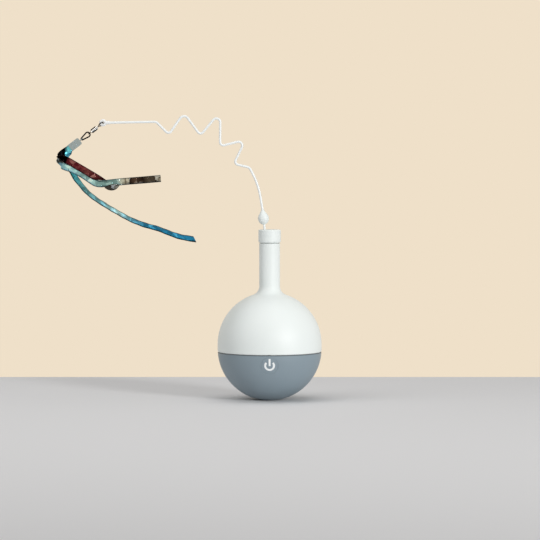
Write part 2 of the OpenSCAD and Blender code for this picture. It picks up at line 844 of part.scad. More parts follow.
module battery_cradle() color(black) difference() {
    union() {
        translate([0, 0, cradle_z]) cylinder(r = ballast_ring + cradle_margin, h = cradle_t);
        for (x = [-rib_x, rib_x])
            translate([x - rib_t / 2, cell_y - cell_d / 2 - rib_margin, cradle_z])
                cube([rib_t, cell_d + 2 * rib_margin, cradle_t + cell_lift + 0.35 * cell_d]);
        translate([-end_x - end_wall_t, cell_y - end_wall_w / 2, cradle_z])
            cube([2 * (end_x + end_wall_t), end_wall_w, cradle_t]);
        for (x = [-end_x - end_wall_t, end_x]) translate([x, cell_y - end_wall_w / 2, cradle_z])
            cube([end_wall_t, end_wall_w, cradle_t + cell_lift + 0.6 * cell_d]);
    }
    cell_room(rest);
    at_posts(ballast_ring, ballast_angles, 0) cylinder(d = screw_d + 2 * slide, h = cell_z);
    at_posts(ballast_ring, ballast_angles, cradle_z + cradle_t)
        cylinder(d = head_d + 4 * slide, h = cell_d);
}

module battery_cell() color("#3f6fb0") translate([-cell_l / 2, cell_y, cell_z]) rotate([0, 90, 0])
    rotate_extrude() rounded_half(cell_d / 2, 0, cell_l, cell_round, cell_round);

module battery_contacts() color(brass) for (side = [-1, 1])
    translate([
        side * (cell_l / 2 + rest + contact_t / 2) - contact_t / 2,
        cell_y - contact_w / 2,
        cell_z - contact_drop
    ])
        cube([contact_t, contact_w, contact_h]);

module main_board() color(board_green) difference() {
    translate([-board_w / 2, board_front, board_z]) cube([board_w, board_back - board_front, board_t]);
    for (side = [-1, 1]) translate([side * board_screw_at[0], board_screw_at[1], board_z - 1])
        cylinder(d = screw_d + 2 * slide, h = board_t + 2);
}

module board_parts() color(black) translate([0, board_front, board_z + board_t + fit]) {
    chip = [3.6, 3, 1];
    coil = [1.6, 1.2, 0.7];
    for (x = [-4.8, 0.7]) translate([x, 0.4, 0]) cube(chip);
    for (x = [-3.3, 1.7]) translate([x, 3.6, 0]) cube(coil);
}

module board_screws() color(steel) for (side = [-1, 1])
    translate([side * board_screw_at[0], board_screw_at[1], board_z + board_t + rest])
        pan_screw(screw_d, board_screw_l, board_head_d, head_h);

// Flat-sided rounded block along Y with the charging socket's outline
module usb_block(w, h, y0, y1) {
    middle = board_z + board_t + fit + socket_h_usb / 2;
    for (side = [-1, 1]) translate([side * (w - h) / 2, y0, middle]) rotate([-90, 0, 0])
        cylinder(d = h, h = y1 - y0);
    translate([-(w - h) / 2, y0, middle - h / 2 + blend_slip]) cube([w - h, y1 - y0, h - 2 * blend_slip]);
}

module usb_socket() color(steel) difference() {
    usb_block(socket_w, socket_h_usb, socket_mouth - socket_l, socket_mouth);
    usb_block(
        socket_w - 2 * socket_wall,
        socket_h_usb - 2 * socket_wall,
        socket_mouth - socket_l + socket_back_t,
        socket_mouth + 1
    );
}

module usb_tongue() color(black)
    translate([
        -tongue_w / 2,
        socket_mouth - socket_l + socket_back_t + fit,
        board_z + board_t + (socket_h_usb - tongue_t) / 2
    ])
        cube([tongue_w, socket_l - socket_back_t - tongue_short, tongue_t]);

module switch_board() color(board_green) at_button() difference() {
    translate([-switch_board_w / 2, -switch_board_h / 2, switch_board_back])
        cube([switch_board_w, switch_board_h, switch_board_t]);
    for (side = [-1, 1]) translate([side * switch_screw_x, 0, 0])
        cylinder(d = small_d + 2 * slide, h = switch_board_top + 1);
}

module switch_screws() color(steel) at_button() for (side = [-1, 1])
    translate([side * switch_screw_x, 0, switch_board_back - rest]) rotate([180, 0, 0])
        pan_screw(small_d, switch_screw_l, small_head_d, small_head_h);

module switch_body() color(black) at_button() difference() {
    translate([-switch_w / 2, -switch_w / 2, switch_board_top + fit])
        cube([switch_w, switch_w, switch_h - fit]);
    translate([0, 0, switch_top - plunger_h - button_travel])
        cylinder(d = plunger_d + 2 * slide, h = switch_h);
}

module switch_plunger() color(white) at_button()
    translate([0, 0, switch_top - plunger_h + slide])
        cylinder(d = plunger_d, h = 2 * plunger_h - slide - fit);

module chassis() color(black) difference() {
    union() {
        translate([0, 0, chassis_z]) cylinder(r = chassis_r, h = chassis_t);
        for (p = pillar_at) translate([p[0], p[1], chassis_z])
            cylinder(r = pillar_r, h = plate_z - chassis_z - rest);
    }
    translate([0, 0, chassis_z - 1]) cylinder(r = bush_r + fit, h = chassis_t + 2);
    translate([motor_at[0], motor_at[1], chassis_z - 1])
        cylinder(d = motor_boss_d + 2 * fit, h = chassis_t + 2);
    translate([idler_at[0], idler_at[1], chassis_z - 1])
        cylinder(d = axle_d + 2 * fit, h = chassis_t + 2);
    for (x = [-1, 1]) translate([motor_at[0] + x * motor_screw_x, motor_at[1], chassis_z - 1])
        cylinder(d = small_d + 2 * slide, h = chassis_t + 2);
    at_posts(post_ring, post_angles, chassis_z - 1)
        cylinder(d = screw_d + 2 * slide, h = chassis_t + 2);
    for (p = pillar_at) translate([p[0], p[1], plate_z + plate_t - plate_screw_l - bore_room])
        cylinder(d = small_d + 2 * fit, h = plate_screw_l + bore_room);
}

module chassis_screws() color(steel) at_posts(post_ring, post_angles, chassis_top + rest)
    pan_screw(screw_d, chassis_screw_l, head_d, head_h);

module motor_can() color(steel) translate([motor_at[0], motor_at[1], chassis_z - rest]) difference() {
    union() {
        intersection() {
            translate([0, 0, -motor_l]) cylinder(d = motor_d, h = motor_l);
            translate([-motor_d, -motor_half, -motor_l]) cube([2 * motor_d, 2 * motor_half, motor_l]);
        }
        cylinder(d = motor_boss_d, h = 1);
    }
    translate([0, 0, -motor_l + 2]) cylinder(d = motor_shaft_d + 2 * spin_fit, h = motor_l);
    for (x = [-1, 1]) translate([x * motor_screw_x, 0, -motor_screw_grip - bore_room])
        cylinder(d = small_d + 2 * fit, h = 2 * motor_screw_grip + bore_room);
}

module motor_endcap() color(black)
    translate([motor_at[0], motor_at[1], chassis_z - motor_l - 2 * rest - endcap_h])
        intersection() {
            cylinder(d = motor_d - 1, h = endcap_h);
            translate([-motor_d, 0.5 - motor_half, 0]) cube([2 * motor_d, 2 * motor_half - 1, endcap_h]);
        }

module motor_terminals() color(brass) for (x = [-1, 1])
    translate([motor_at[0] + x * 3 - 0.8, motor_at[1] - 0.2, chassis_z - motor_l - endcap_h - 2.8])
        cube([1.6, 0.4, 2.6]);

module motor_screws() color(steel) for (x = [-1, 1])
    translate([motor_at[0] + x * motor_screw_x, motor_at[1], chassis_top + rest])
        pan_screw(small_d, chassis_t + motor_screw_grip, motor_head_d, motor_head_h);

module motor_shaft() color(steel) translate([motor_at[0], motor_at[1], chassis_z - motor_l + 3])
    cylinder(d = motor_shaft_d, h = stage1_z + tooth_w + 0.5 - chassis_z + motor_l - 3);

// Outline of a spur gear with a tooth at angle 0
module gear_outline(teeth) {
    pitch_r = gear_module * teeth / 2;
    flank = [[-1.15, 0.42], [0, 0.29], [0.5, 0.2], [0.85, 0.12]];
    near = [
        for (f = flank)
            let (r = pitch_r + gear_module * f[0])
            [r, -360 / PI * gear_module * f[1] / r]
    ];
    far = [for (k = [len(near) - 1:-1:0]) [near[k][0], -near[k][1]]];
    polygon([
        for (i = [0:teeth - 1], p = concat(near, far))
            let (a = 360 * i / teeth + p[1])
            p[0] * [cos(a), sin(a)]
    ]);
}

module motor_pinion() color(brass) translate([motor_at[0], motor_at[1], stage1_z]) difference() {
    rotate(180 / pinion_teeth) linear_extrude(tooth_w) gear_outline(pinion_teeth);
    translate([0, 0, -1]) cylinder(d = motor_shaft_d + 2 * fit, h = tooth_w + 2);
}

module idler_axle() color(steel) translate([idler_at[0], idler_at[1], chassis_z])
    cylinder(d = axle_d, h = plate_z + plate_t - chassis_z);

module compound_gear() color(gear_white) translate([idler_at[0], idler_at[1], stage1_z]) difference() {
    union() {
        linear_extrude(tooth_w) gear_outline(wheel_teeth);
        rotate(180 / pinion_teeth) translate([0, 0, tooth_w - 1])
            linear_extrude(stage_gap + tooth_w + 1) gear_outline(pinion_teeth);
    }
    translate([0, 0, -1]) cylinder(d = axle_d + 2 * spin_fit, h = 2 * tooth_w + stage_gap + 2);
}

module output_gear() color(gear_white) difference() {
    hub_foot = chassis_top + bush_flange + rest;
    union() {
        translate([0, 0, stage2_z]) linear_extrude(tooth_w) gear_outline(wheel_teeth);
        translate([0, 0, hub_foot]) cylinder(r = shaft_d / 2 + 0.75, h = stage2_z - hub_foot + 1);
        translate([0, 0, stage2_z])
            cylinder(r = shaft_d / 2 + 2.5, h = plate_z - bush_flange - rest - stage2_z);
    }
    cylinder(d = shaft_d + 2 * fit, h = plate_z + 1);
}

module output_shaft() color(steel) translate([0, 0, chassis_z - 1])
    cylinder(d = shaft_d, h = shaft_top - chassis_z + 1);

// Flanged plain bearing with its flange from z 0 upwards and its sleeve below
module flanged_bush(l) {
    difference() {
        union() {
            translate([0, 0, -l]) cylinder(r = bush_r, h = l);
            cylinder(r = bush_r + 1, h = bush_flange);
        }
        translate([0, 0, -l - 1]) cylinder(d = shaft_d + 2 * spin_fit, h = l + bush_flange + 2);
    }
}

module lower_bush() color(brass) translate([0, 0, chassis_top]) flanged_bush(chassis_t);

module plate_bush() color(brass) translate([0, 0, plate_z]) rotate([180, 0, 0]) flanged_bush(plate_t);

module neck_bush() color(brass) translate([0, 0, neck_top - plug_h]) difference() {
    cylinder(r = bush_r, h = bush_l);
    translate([0, 0, -1]) cylinder(d = shaft_d + 2 * spin_fit, h = bush_l + 2);
}

module thrust_washer() color(black) translate([0, 0, neck_top + tip_h + rest]) difference() {
    cylinder(r = tip_r - 1, h = washer_h);
    translate([0, 0, -1]) cylinder(d = shaft_d + 2 * spin_fit, h = washer_h + 2);
}

module gear_plate() color(black) translate([0, 0, plate_z]) difference() {
    union() {
        linear_extrude(plate_t) polygon(pillar_at);
        for (p = pillar_at) translate([p[0], p[1], 0]) cylinder(r = pillar_r + 1, h = plate_t);
    }
    translate([0, 0, -1]) cylinder(r = bush_r + fit, h = plate_t + 2);
    translate([idler_at[0], idler_at[1], -1]) cylinder(d = axle_d + 2 * fit, h = plate_t + 2);
    for (p = pillar_at) translate([p[0], p[1], -1]) cylinder(d = small_d + 2 * slide, h = plate_t + 2);
}

module plate_screws() color(steel) for (p = pillar_at) translate([p[0], p[1], plate_z + plate_t + rest])
    pan_screw(small_d, plate_screw_l, small_head_d, small_head_h);

// Insulated lead through hand-set points, mirrored to the side asked for
module lead(points, side) {
    path = smooth_run([for (p = points) [side * p[0], p[1], p[2]]], 3);
    free_tube(path, lead_d / 2, lead_sides);
}

module battery_leads() color("#b03a2e") for (side = [-1, 1]) lead([
    [end_x + 0.6, cell_y + 5, cell_z + 6.2],
    [end_x + 4.5, cell_y + 9, cell_z + 5],
    [end_x + 4.5, cell_y + 20, cell_z + 5],
    [board_w / 2 + 5, board_front - 6.5, board_z + 3.5],
    [board_w / 2 - 3.6, board_front + 0.4, board_z + board_t + 0.8]
], side);

module motor_leads() color(black) for (side = [-1, 1]) lead([
    [3, motor_at[1] + 0.8, chassis_z - motor_l - endcap_h - 2.2],
    [3.4, motor_at[1] + motor_half + 0.9, chassis_z - motor_l - endcap_h - 2.4],
    [4.4, motor_at[1] + motor_half + 0.9, board_z + board_t - 1],
    [5.4, board_front + 0.2, board_z + board_t + 0.8]
], side);

module switch_leads() color("#d8d8d0") for (side = [-1, 1]) lead([
    on_button(7, 2.5, switch_board_back - 0.35),
    on_button(7.6, 3.4, switch_board_back - 3),
    [9.5, cell_y - 6, chassis_z - 1.6],
    [10, cell_y + 8, chassis_z - 1.2],
    [10, cell_y + 20, chassis_z - 1.2],
    [10, board_front - 7, chassis_z - 3],
    [10, board_front - 3, board_z + 6],
    [9.9, board_screw_at[1] - 2.6, board_z + board_t + 0.8]
], side);

lower_shell();
upper_shell();
power_button();
icon_inlay();
spinner_cap();
wand();
wand_bead();
wand_eyelet();
swivel_eye();
swivel_barrel();
snap_eye();
snap();
ribbon_clip();
ribbon_red();
ribbon_silver();
ribbon_blue();
ballast();
ballast_screws();
battery_cradle();
battery_cell();
battery_contacts();
main_board();
board_parts();
board_screws();
usb_socket();
usb_tongue();
switch_board();
switch_screws();
switch_body();
switch_plunger();
chassis();
chassis_screws();
motor_can();
motor_endcap();
motor_terminals();
motor_screws();
motor_shaft();
motor_pinion();
idler_axle();
compound_gear();
output_gear();
output_shaft();
lower_bush();
plate_bush();
neck_bush();
thrust_washer();
gear_plate();
plate_screws();
battery_leads();
motor_leads();
switch_leads();
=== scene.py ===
# %% [markdown]
# Self-rotating cat ball toy
#
# The real thing is a weighted ball with a neck. A motor in the ball turns a cap on the neck, and a
# springy wand in the cap throws three foil ribbons round. The frame that is loaded first holds every
# solid at its real size, in metres. This lesson gives those solids their finish, and models the
# pieces that a solid shows too plainly: the bent wires, the turned pieces and the foil.

# %% Load the frame
import json
import math

import bmesh
import bpy
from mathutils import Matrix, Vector


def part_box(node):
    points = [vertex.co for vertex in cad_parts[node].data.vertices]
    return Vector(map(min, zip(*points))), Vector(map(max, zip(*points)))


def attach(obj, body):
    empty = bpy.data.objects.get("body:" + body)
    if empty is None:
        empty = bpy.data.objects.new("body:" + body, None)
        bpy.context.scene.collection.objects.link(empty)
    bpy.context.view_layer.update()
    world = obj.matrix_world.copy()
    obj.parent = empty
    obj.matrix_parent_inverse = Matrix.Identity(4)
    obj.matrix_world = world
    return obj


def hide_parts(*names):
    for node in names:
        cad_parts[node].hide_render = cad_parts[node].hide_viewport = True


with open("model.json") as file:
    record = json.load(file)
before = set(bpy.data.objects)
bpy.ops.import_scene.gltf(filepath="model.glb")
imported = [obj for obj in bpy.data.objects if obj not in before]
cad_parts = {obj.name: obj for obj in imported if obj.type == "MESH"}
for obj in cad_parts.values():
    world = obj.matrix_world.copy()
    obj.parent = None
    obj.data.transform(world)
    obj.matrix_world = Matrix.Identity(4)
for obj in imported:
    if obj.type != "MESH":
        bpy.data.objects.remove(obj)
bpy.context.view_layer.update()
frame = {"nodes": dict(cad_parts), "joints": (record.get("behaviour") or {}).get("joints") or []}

MM = 0.001
nodes = frame["nodes"]
joints = {joint["name"]: joint for joint in frame["joints"]}

# %% [markdown]
# The camera
#
# A product photographer stands far back with a long lens, so that the ball stays round and the neck
# straight. The scale of the picture and the place of the neck's axis and of the foot in it then give
# the aim and the lens. A near camera with a wide lens could frame the toy too, but would bend it.

# %% Camera
PICTURE_PIXELS = 540
PIXEL_SIZE = 0.769 * MM
AXIS_PIXEL_X = 269.6
FOOT_PIXEL_Y = 399.9
CAMERA_DISTANCE = 2.5
CAMERA_ELEVATION = math.radians(2.8)
SENSOR_MM = 36


def add_object(name, data):
    thing = bpy.data.objects.new(name, data)
    bpy.context.scene.collection.objects.link(thing)
    return thing


picture_width = PICTURE_PIXELS * PIXEL_SIZE
middle_pixel = PICTURE_PIXELS / 2
aim = PIXEL_SIZE * Vector((middle_pixel - AXIS_PIXEL_X, 0, FOOT_PIXEL_Y - middle_pixel))
back = Vector((0, -math.cos(CAMERA_ELEVATION), math.sin(CAMERA_ELEVATION)))
camera = add_object("camera", bpy.data.cameras.new("camera"))
camera.data.sensor_width = SENSOR_MM
camera.data.lens = SENSOR_MM * CAMERA_DISTANCE / picture_width
camera.location = aim + CAMERA_DISTANCE * back
camera.rotation_euler = (math.pi / 2 - CAMERA_ELEVATION, 0, 0)
bpy.context.scene.camera = camera
print("lens", round(camera.data.lens), "mm")

# %% [markdown]
# Colours
#
# Colours are written as the hex values that a paint program shows, but a shader wants linear light.
# One function turns the one into the other by the usual curve, so every colour below can be read off
# a swatch. Colours could also be typed in as linear numbers, but nobody can picture those.

# %% Hex colour to linear light
def linear(hex_colour):
    channels = [int(hex_colour[i:i + 2], 16) / 255 for i in (1, 3, 5)]
    return [c / 12.92 if c <= 0.04045 else ((c + 0.055) / 1.055) ** 2.4 for c in channels] + [1.0]


print("a grey of #808080 is", round(linear("#808080")[0], 3), "in linear light")

# %% [markdown]
# Nodes
#
# Materials and geometry trees are both built from nodes. One function adds a node of any kind to any
# tree, with its settings, and with a value or a link for each socket that is named. Another starts a
# material with plain values on its shader. A Mix node keeps its colour sockets behind those for
# numbers and vectors, so the places of these sockets have names.

# %% Add nodes and start materials
MIX_FROM, MIX_TO, MIXED = 6, 7, 2


def add_node(tree, kind, inputs=None, **settings):
    node = tree.nodes.new(kind)
    for name, value in settings.items():
        setattr(node, name, value)
    for socket, value in (inputs or {}).items():
        if isinstance(value, bpy.types.NodeSocket):
            tree.links.new(value, node.inputs[socket])
        else:
            node.inputs[socket].default_value = value
    return node


def new_material(name, values):
    material = bpy.data.materials.new(name)
    material.use_nodes = True
    shader = material.node_tree.nodes["Principled BSDF"]
    for socket, value in values.items():
        shader.inputs[socket].default_value = value
    return material, material.node_tree, shader


print("a Mix node takes its colours at sockets", MIX_FROM, "and", MIX_TO)

# %% [markdown]
# Two tones and a grain
#
# A real surface is never one flat colour: its tone drifts in patches, and a fine grain breaks up its
# gloss. Plastics and metals have that in common, so one function does it for both. The patches mix two
# tones, and the grain changes the roughness a little and goes into the normal as a bump.

# %% Tone, gloss and grain of a surface
GLOSS_SWING = 0.06


def dress(tree, shader, tones, patches, grain, roughness, strength, depth_mm):
    """Give a shader two tones in patches, and a grain in its gloss and on its surface."""
    tone = add_node(
        tree, "ShaderNodeMix",
        {"Factor": patches, MIX_FROM: linear(tones[0]), MIX_TO: linear(tones[1])},
        data_type="RGBA", name="tone",
    )
    gloss = add_node(
        tree, "ShaderNodeMapRange",
        {"Value": grain, "To Min": roughness - GLOSS_SWING, "To Max": roughness + GLOSS_SWING},
    )
    bump = add_node(
        tree, "ShaderNodeBump", {"Strength": strength, "Distance": depth_mm * MM, "Height": grain},
    )
    tree.links.new(tone.outputs[MIXED], shader.inputs["Base Color"])
    tree.links.new(gloss.outputs[0], shader.inputs["Roughness"])
    tree.links.new(bump.outputs[0], shader.inputs["Normal"])


print("a grain changes the roughness by up to", GLOSS_SWING)

# %% [markdown]
# Moulded plastic
#
# The shells, the cap and the button are ABS, moulded in a steel tool whose walls were roughened by
# sparks. That leaves a very fine grain, which spreads the light softly, and the melt's flow leaves
# clouds of slightly different tone. Both come from noise on Object coordinates. The grain of the
# real tool is a tenth of a millimetre, which the picture can't show, so it is drawn a little coarser.

# %% Moulded plastic material
GRAIN_MM = 0.45
GRAIN_DEPTH_MM = 0.012
GRAIN_STRENGTH = 0.35
CLOUD_MM = 24
PLASTIC_IOR = 1.53


def moulded_plastic(name, colour, cloud, roughness, depth_mm=GRAIN_DEPTH_MM):
    material, tree, shader = new_material(name, {"IOR": PLASTIC_IOR})
    place = add_node(tree, "ShaderNodeTexCoord").outputs["Object"]
    clouds = add_node(
        tree, "ShaderNodeTexNoise", {"Vector": place, "Scale": 1 / (CLOUD_MM * MM), "Detail": 2.0},
    )
    grain = add_node(
        tree, "ShaderNodeTexNoise", {"Vector": place, "Scale": 1 / (GRAIN_MM * MM), "Detail": 1.0},
    )
    dress(
        tree, shader, (colour, cloud), clouds.outputs["Fac"], grain.outputs["Fac"], roughness,
        GRAIN_STRENGTH, depth_mm,
    )
    return material


print("plastic has a grain of", GRAIN_MM, "mm and clouds of", CLOUD_MM, "mm")

# %% [markdown]
# The toy's plastics
#
# Dome and cap are one white and the bowl with its button one grey, because each pair is moulded from
# the same batch. The sign is a second shot of a cleaner white. Gears are acetal, which runs without
# oil, and the carriers inside are nylon with glass fibre, which stays stiff. Each plastic needs only
# its two tones and its roughness.

# %% Plastics on their solids
def finish_nodes(material, *names):
    for name in names:
        nodes[name].data.materials.clear()
        nodes[name].data.materials.append(material)
    print(material.name, "on", ", ".join(names))


# A spark-eroded tool leaves a soft, even sheen.
white_abs = moulded_plastic("white_moulded_abs", "#eef3f1", "#e9efec", 0.5)
# The same tool finish in grey reads a touch glossier.
grey_abs = moulded_plastic("grey_moulded_abs", "#8a99a2", "#85949d", 0.46)
# A polished insert makes the sign stand out from the button.
sign_abs = moulded_plastic("white_sign_abs", "#fbfdfc", "#f6f9f8", 0.38)
# Glass fibres at the surface dull the black.
black_nylon = moulded_plastic("black_glass_filled_nylon", "#26282b", "#2f3235", 0.55)
# Natural acetal is waxy and a little yellow.
gear_acetal = moulded_plastic("natural_acetal", "#e6e3d6", "#dedacb", 0.36)
finish_nodes(white_abs, "upper_shell", "spinner_cap")
finish_nodes(grey_abs, "lower_shell", "power_button")
finish_nodes(sign_abs, "icon_inlay", "switch_plunger")
finish_nodes(gear_acetal, "compound_gear", "output_gear", "thrust_washer")
finish_nodes(
    black_nylon, "battery_cradle", "chassis", "gear_plate", "motor_endcap", "switch_body",
    "usb_tongue", "board_parts",
)

# %% [markdown]
# The parting line
#
# Bowl and dome meet in a fine groove, where light hardly reaches. The groove is cut
# into the solids. What it lacks is that shade, so a painted shade darkens the bowl's plastic in the
# last part of a millimetre below its rim, which the height of the Object coordinates gives.

# %% Shade of the parting line
SEAM_HEIGHT = 36.98 * MM
LINE_HEIGHT = 0.9 * MM


# Paints shade into a plastic: its colour darkens towards a rim at the given height.
def paint_shade_below_rim(material, top, height, shade):
    tree = material.node_tree
    place = add_node(tree, "ShaderNodeTexCoord")
    parts = add_node(tree, "ShaderNodeSeparateXYZ", {"Vector": place.outputs["Object"]})
    depth = add_node(
        tree, "ShaderNodeMapRange",
        {"Value": parts.outputs["Z"], "From Min": top - height, "From Max": top},
    )
    tone = tree.nodes["tone"].outputs[MIXED]
    shaded = add_node(
        tree, "ShaderNodeMix", {"Factor": depth.outputs[0], MIX_FROM: tone, MIX_TO: linear(shade)},
        data_type="RGBA",
    )
    tree.links.new(shaded.outputs[MIXED], tree.nodes["Principled BSDF"].inputs["Base Color"])
    print(material.name, "darkens in the last", round(height / MM, 1), "mm below its rim")


# painted shade under the groove: the grey darkens towards the bowl's rim
paint_shade_below_rim(grey_abs, SEAM_HEIGHT, LINE_HEIGHT, "#23282b")

# %% [markdown]
# Drawn, plated and cast metal
#
# Wire and sheet are drawn or rolled before they are plated, which leaves faint streaks, while the
# iron ballast keeps the dull skin of its mould. One material function makes them all: a metal colour
# with two tones, a roughness that wanders, and a fine bump.

# %% Metal material
WANDER_MM = 2.5
STREAK_DEPTH_MM = 0.01
STREAK_STRENGTH = 0.1


def worked_metal(name, colour, tarnish, roughness):
    material, tree, shader = new_material(name, {"Metallic": 1.0})
    place = add_node(tree, "ShaderNodeTexCoord").outputs["Object"]
    wander = add_node(
        tree, "ShaderNodeTexNoise", {"Vector": place, "Scale": 1 / (WANDER_MM * MM), "Detail": 1.0},
    ).outputs["Fac"]
    dress(
        tree, shader, (colour, tarnish), wander, wander, roughness, STREAK_STRENGTH, STREAK_DEPTH_MM,
    )
    return material


print("metal changes its tone every", WANDER_MM, "mm")

# %% [markdown]
# The toy's metals
#
# Only the swivel, the snap and the clip show from outside. The swivel and the snap are plated fishing
# tackle, some of it black and some bright, and the clip is crimped from tinned sheet. The rest is what
# small drives are made of: zinc-plated steel, brass bushes and terminals, and a lump of iron.

# %% Metals on their solids
# A dark bath over polished wire is nearly black, with small sharp highlights.
black_nickel = worked_metal("black_nickel_plate", "#0e0e10", "#070708", 0.2)
# A bright bath over a turned bar mirrors the room with a cool tone.
bright_nickel = worked_metal("bright_nickel_plate", "#eceef0", "#cdd0d4", 0.16)
# Tinned sheet that a crimping tool has rubbed has a soft grey gleam.
tin_plate = worked_metal("tin_plated_sheet", "#a1b1b9", "#97a7af", 0.42)
# Zinc plate on screws and cans is pale and slightly blue.
zinc_steel = worked_metal("zinc_plated_steel", "#b9bec2", "#a2a8ad", 0.3)
# Rolled strip keeps faint streaks in its warm yellow.
sheet_brass = worked_metal("rolled_brass", "#c9a45a", "#b38d48", 0.3)
# The skin of the sand mould leaves iron dark and dull.
cast_iron = worked_metal("cast_iron", "#55595c", "#42464a", 0.55)
finish_nodes(tin_plate, "ribbon_clip")
finish_nodes(cast_iron, "ballast")
finish_nodes(
    zinc_steel, "ballast_screws", "board_screws", "switch_screws", "chassis_screws", "motor_screws",
    "plate_screws", "usb_socket", "motor_can", "motor_shaft", "idler_axle", "output_shaft",
)
finish_nodes(
    sheet_brass, "battery_contacts", "motor_terminals", "motor_pinion", "lower_bush", "plate_bush",
    "neck_bush",
)

# %% [markdown]
# Boards, cell sleeve and lead insulation
#
# These stay inside the ball and show only when it is opened. They are made as the plastics are,
# with the colours that such parts have.

# %% Inner finishes
# Lacquer over copper is green and half glossy.
solder_mask = moulded_plastic("green_solder_mask", "#2c6a45", "#347550", 0.35)
# Film that heat has shrunk on is smooth and glossy.
shrink_sleeve = moulded_plastic("blue_shrink_sleeve", "#3a68a8", "#4473b2", 0.3)
# Vinyl that is extruded round the strands has a soft gleam.
red_vinyl = moulded_plastic("red_vinyl_insulation", "#a8332a", "#b23f33", 0.4)
black_vinyl = moulded_plastic("black_vinyl_insulation", "#202124", "#2a2b2e", 0.4)
white_vinyl = moulded_plastic("white_vinyl_insulation", "#dcdcd4", "#d2d2c8", 0.4)
finish_nodes(solder_mask, "main_board", "switch_board")
finish_nodes(shrink_sleeve, "battery_cell")
finish_nodes(red_vinyl, "battery_leads")
finish_nodes(black_vinyl, "motor_leads")
finish_nodes(white_vinyl, "switch_leads")

# %% [markdown]
# Geometry trees
#
# A geometry tree is a recipe: a base mesh and a few named sizes go in, and a finished shape comes out.
# Every tree here starts with its named inputs. It ends by making copies real and by setting the
# material, because only what is real in the mesh is kept when the mesh leaves the tree.

# %% Start and end of a tree
def new_tree(name, inputs):
    tree = bpy.data.node_groups.new(name, "GeometryNodeTree")
    tree.interface.new_socket("Geometry", in_out="INPUT", socket_type="NodeSocketGeometry")
    for label, kind in inputs.items():
        tree.interface.new_socket(label, in_out="INPUT", socket_type="NodeSocket" + kind)
    tree.interface.new_socket("Geometry", in_out="OUTPUT", socket_type="NodeSocketGeometry")
    return tree, add_node(tree, "NodeGroupInput").outputs


def end_tree(tree, geometry, material):
    single = add_node(tree, "GeometryNodeRealizeInstances", {"Geometry": geometry})
    dressed = add_node(
        tree, "GeometryNodeSetMaterial", {"Geometry": single.outputs[0], "Material": material},
    )
    add_node(tree, "NodeGroupOutput", {"Geometry": dressed.outputs[0]})
    print(tree.name, "tree has", len(tree.nodes), "nodes")


# %% [markdown]
# Bent wire
#
# The wand is a plastic-coated spring wire, bent by hand to a zigzag, and the snap is a bent steel
# wire. A wire bender works from a list of corners and a radius for each, and Geometry Nodes can do
# just that: Fillet Curve rounds each corner by its own radius, and Curve to Mesh pulls a round
# section along the line. Another wire then takes one number. Where the line also carries a girth,
# the section swells and shrinks on its way, which is what a lathe does to a bar.

# %% Bent wire tree
def bent_wire_tree():
    tree, given = new_tree("bent_wire", {
        "Wire diameter": "Float", "Arc points": "Int", "Wire sides": "Int", "Material": "Material",
    })
    line = add_node(tree, "GeometryNodeMeshToCurve", {"Mesh": given["Geometry"]})
    radius = add_node(tree, "GeometryNodeInputNamedAttribute", {"Name": "bend_radius"})
    girth = add_node(tree, "GeometryNodeInputNamedAttribute", {"Name": "girth"})
    bent = add_node(
        tree, "GeometryNodeFilletCurve",
        {"Curve": line.outputs[0], "Count": given["Arc points"], "Radius": radius.outputs[0],
         "Limit Radius": True},
        mode="POLY",
    )
    half = add_node(tree, "ShaderNodeMath", {0: given["Wire diameter"], 1: 0.5}, operation="MULTIPLY")
    section = add_node(
        tree, "GeometryNodeCurvePrimitiveCircle",
        {"Resolution": given["Wire sides"], "Radius": half.outputs[0]},
    )
    tube = add_node(
        tree, "GeometryNodeCurveToMesh",
        {"Curve": bent.outputs[0], "Profile Curve": section.outputs[0], "Scale": girth.outputs[0],
         "Fill Caps": True},
    )
    end_tree(tree, tube.outputs[0], given["Material"])
    return tree


bent_wire = bent_wire_tree()

# %% [markdown]
# A plain mesh from a tree
#
# A modifier with a tree is live: its shape is there only as long as the modifier is. A finished piece
# needs a mesh of its own, so the tree works on a rough object, its result is copied, and the rough
# object goes. Points that fall together are welded, and the faces are turned to look outwards.

# %% Turn a tree's result into a plain mesh
WELD_DISTANCE = 0.001 * MM


def made_plain(name, base_mesh, tree, values):
    """The result of a geometry tree on a base mesh, as an object with a mesh of its own."""
    rough = add_object(name + ".rough", base_mesh)
    modifier = rough.modifiers.new("tree", "NODES")
    modifier.node_group = tree
    for item in tree.interface.items_tree:
        if item.in_out == "INPUT" and item.name in values:
            modifier[item.identifier] = values[item.name]
    bpy.context.view_layer.update()
    depsgraph = bpy.context.evaluated_depsgraph_get()
    mesh = bpy.data.meshes.new_from_object(rough.evaluated_get(depsgraph))
    mesh.name = name
    bpy.data.objects.remove(rough)
    build = bmesh.new()
    build.from_mesh(mesh)
    bmesh.ops.remove_doubles(build, verts=build.verts, dist=WELD_DISTANCE)
    bmesh.ops.recalc_face_normals(build, faces=build.faces)
    build.to_mesh(mesh)
    build.free()
    mesh.shade_smooth()
    print(name, "has", len(mesh.polygons), "faces")
    return add_object(name, mesh)


# %% [markdown]
# Wire pieces
#
# A wire starts as a bare line of points. The bend radius and the girth are stored on the points, where
# the tree finds them by name. The finished wire takes the place of its solid, on the same body.

# %% Lines and pieces of wire
WIRE_SIDES = 24


def point_values(mesh, name, kind, values):
    field = "value" if kind == "FLOAT" else "vector"
    mesh.attributes.new(name, kind, "POINT").data.foreach_set(field, values)


def wire_line(name, points, closed=False, radii=None, girths=None):
    """A line for the bent wire tree, with a bend radius and a girth at each point."""
    edges = [(i, i + 1) for i in range(len(points) - 1)]
    if closed:
        edges.append((len(points) - 1, 0))
    mesh = bpy.data.meshes.new(name + "_line")
    mesh.from_pydata(points, edges, [])
    point_values(mesh, "bend_radius", "FLOAT", radii or [0.0] * len(points))
    point_values(mesh, "girth", "FLOAT", girths or [1.0] * len(points))
    return mesh


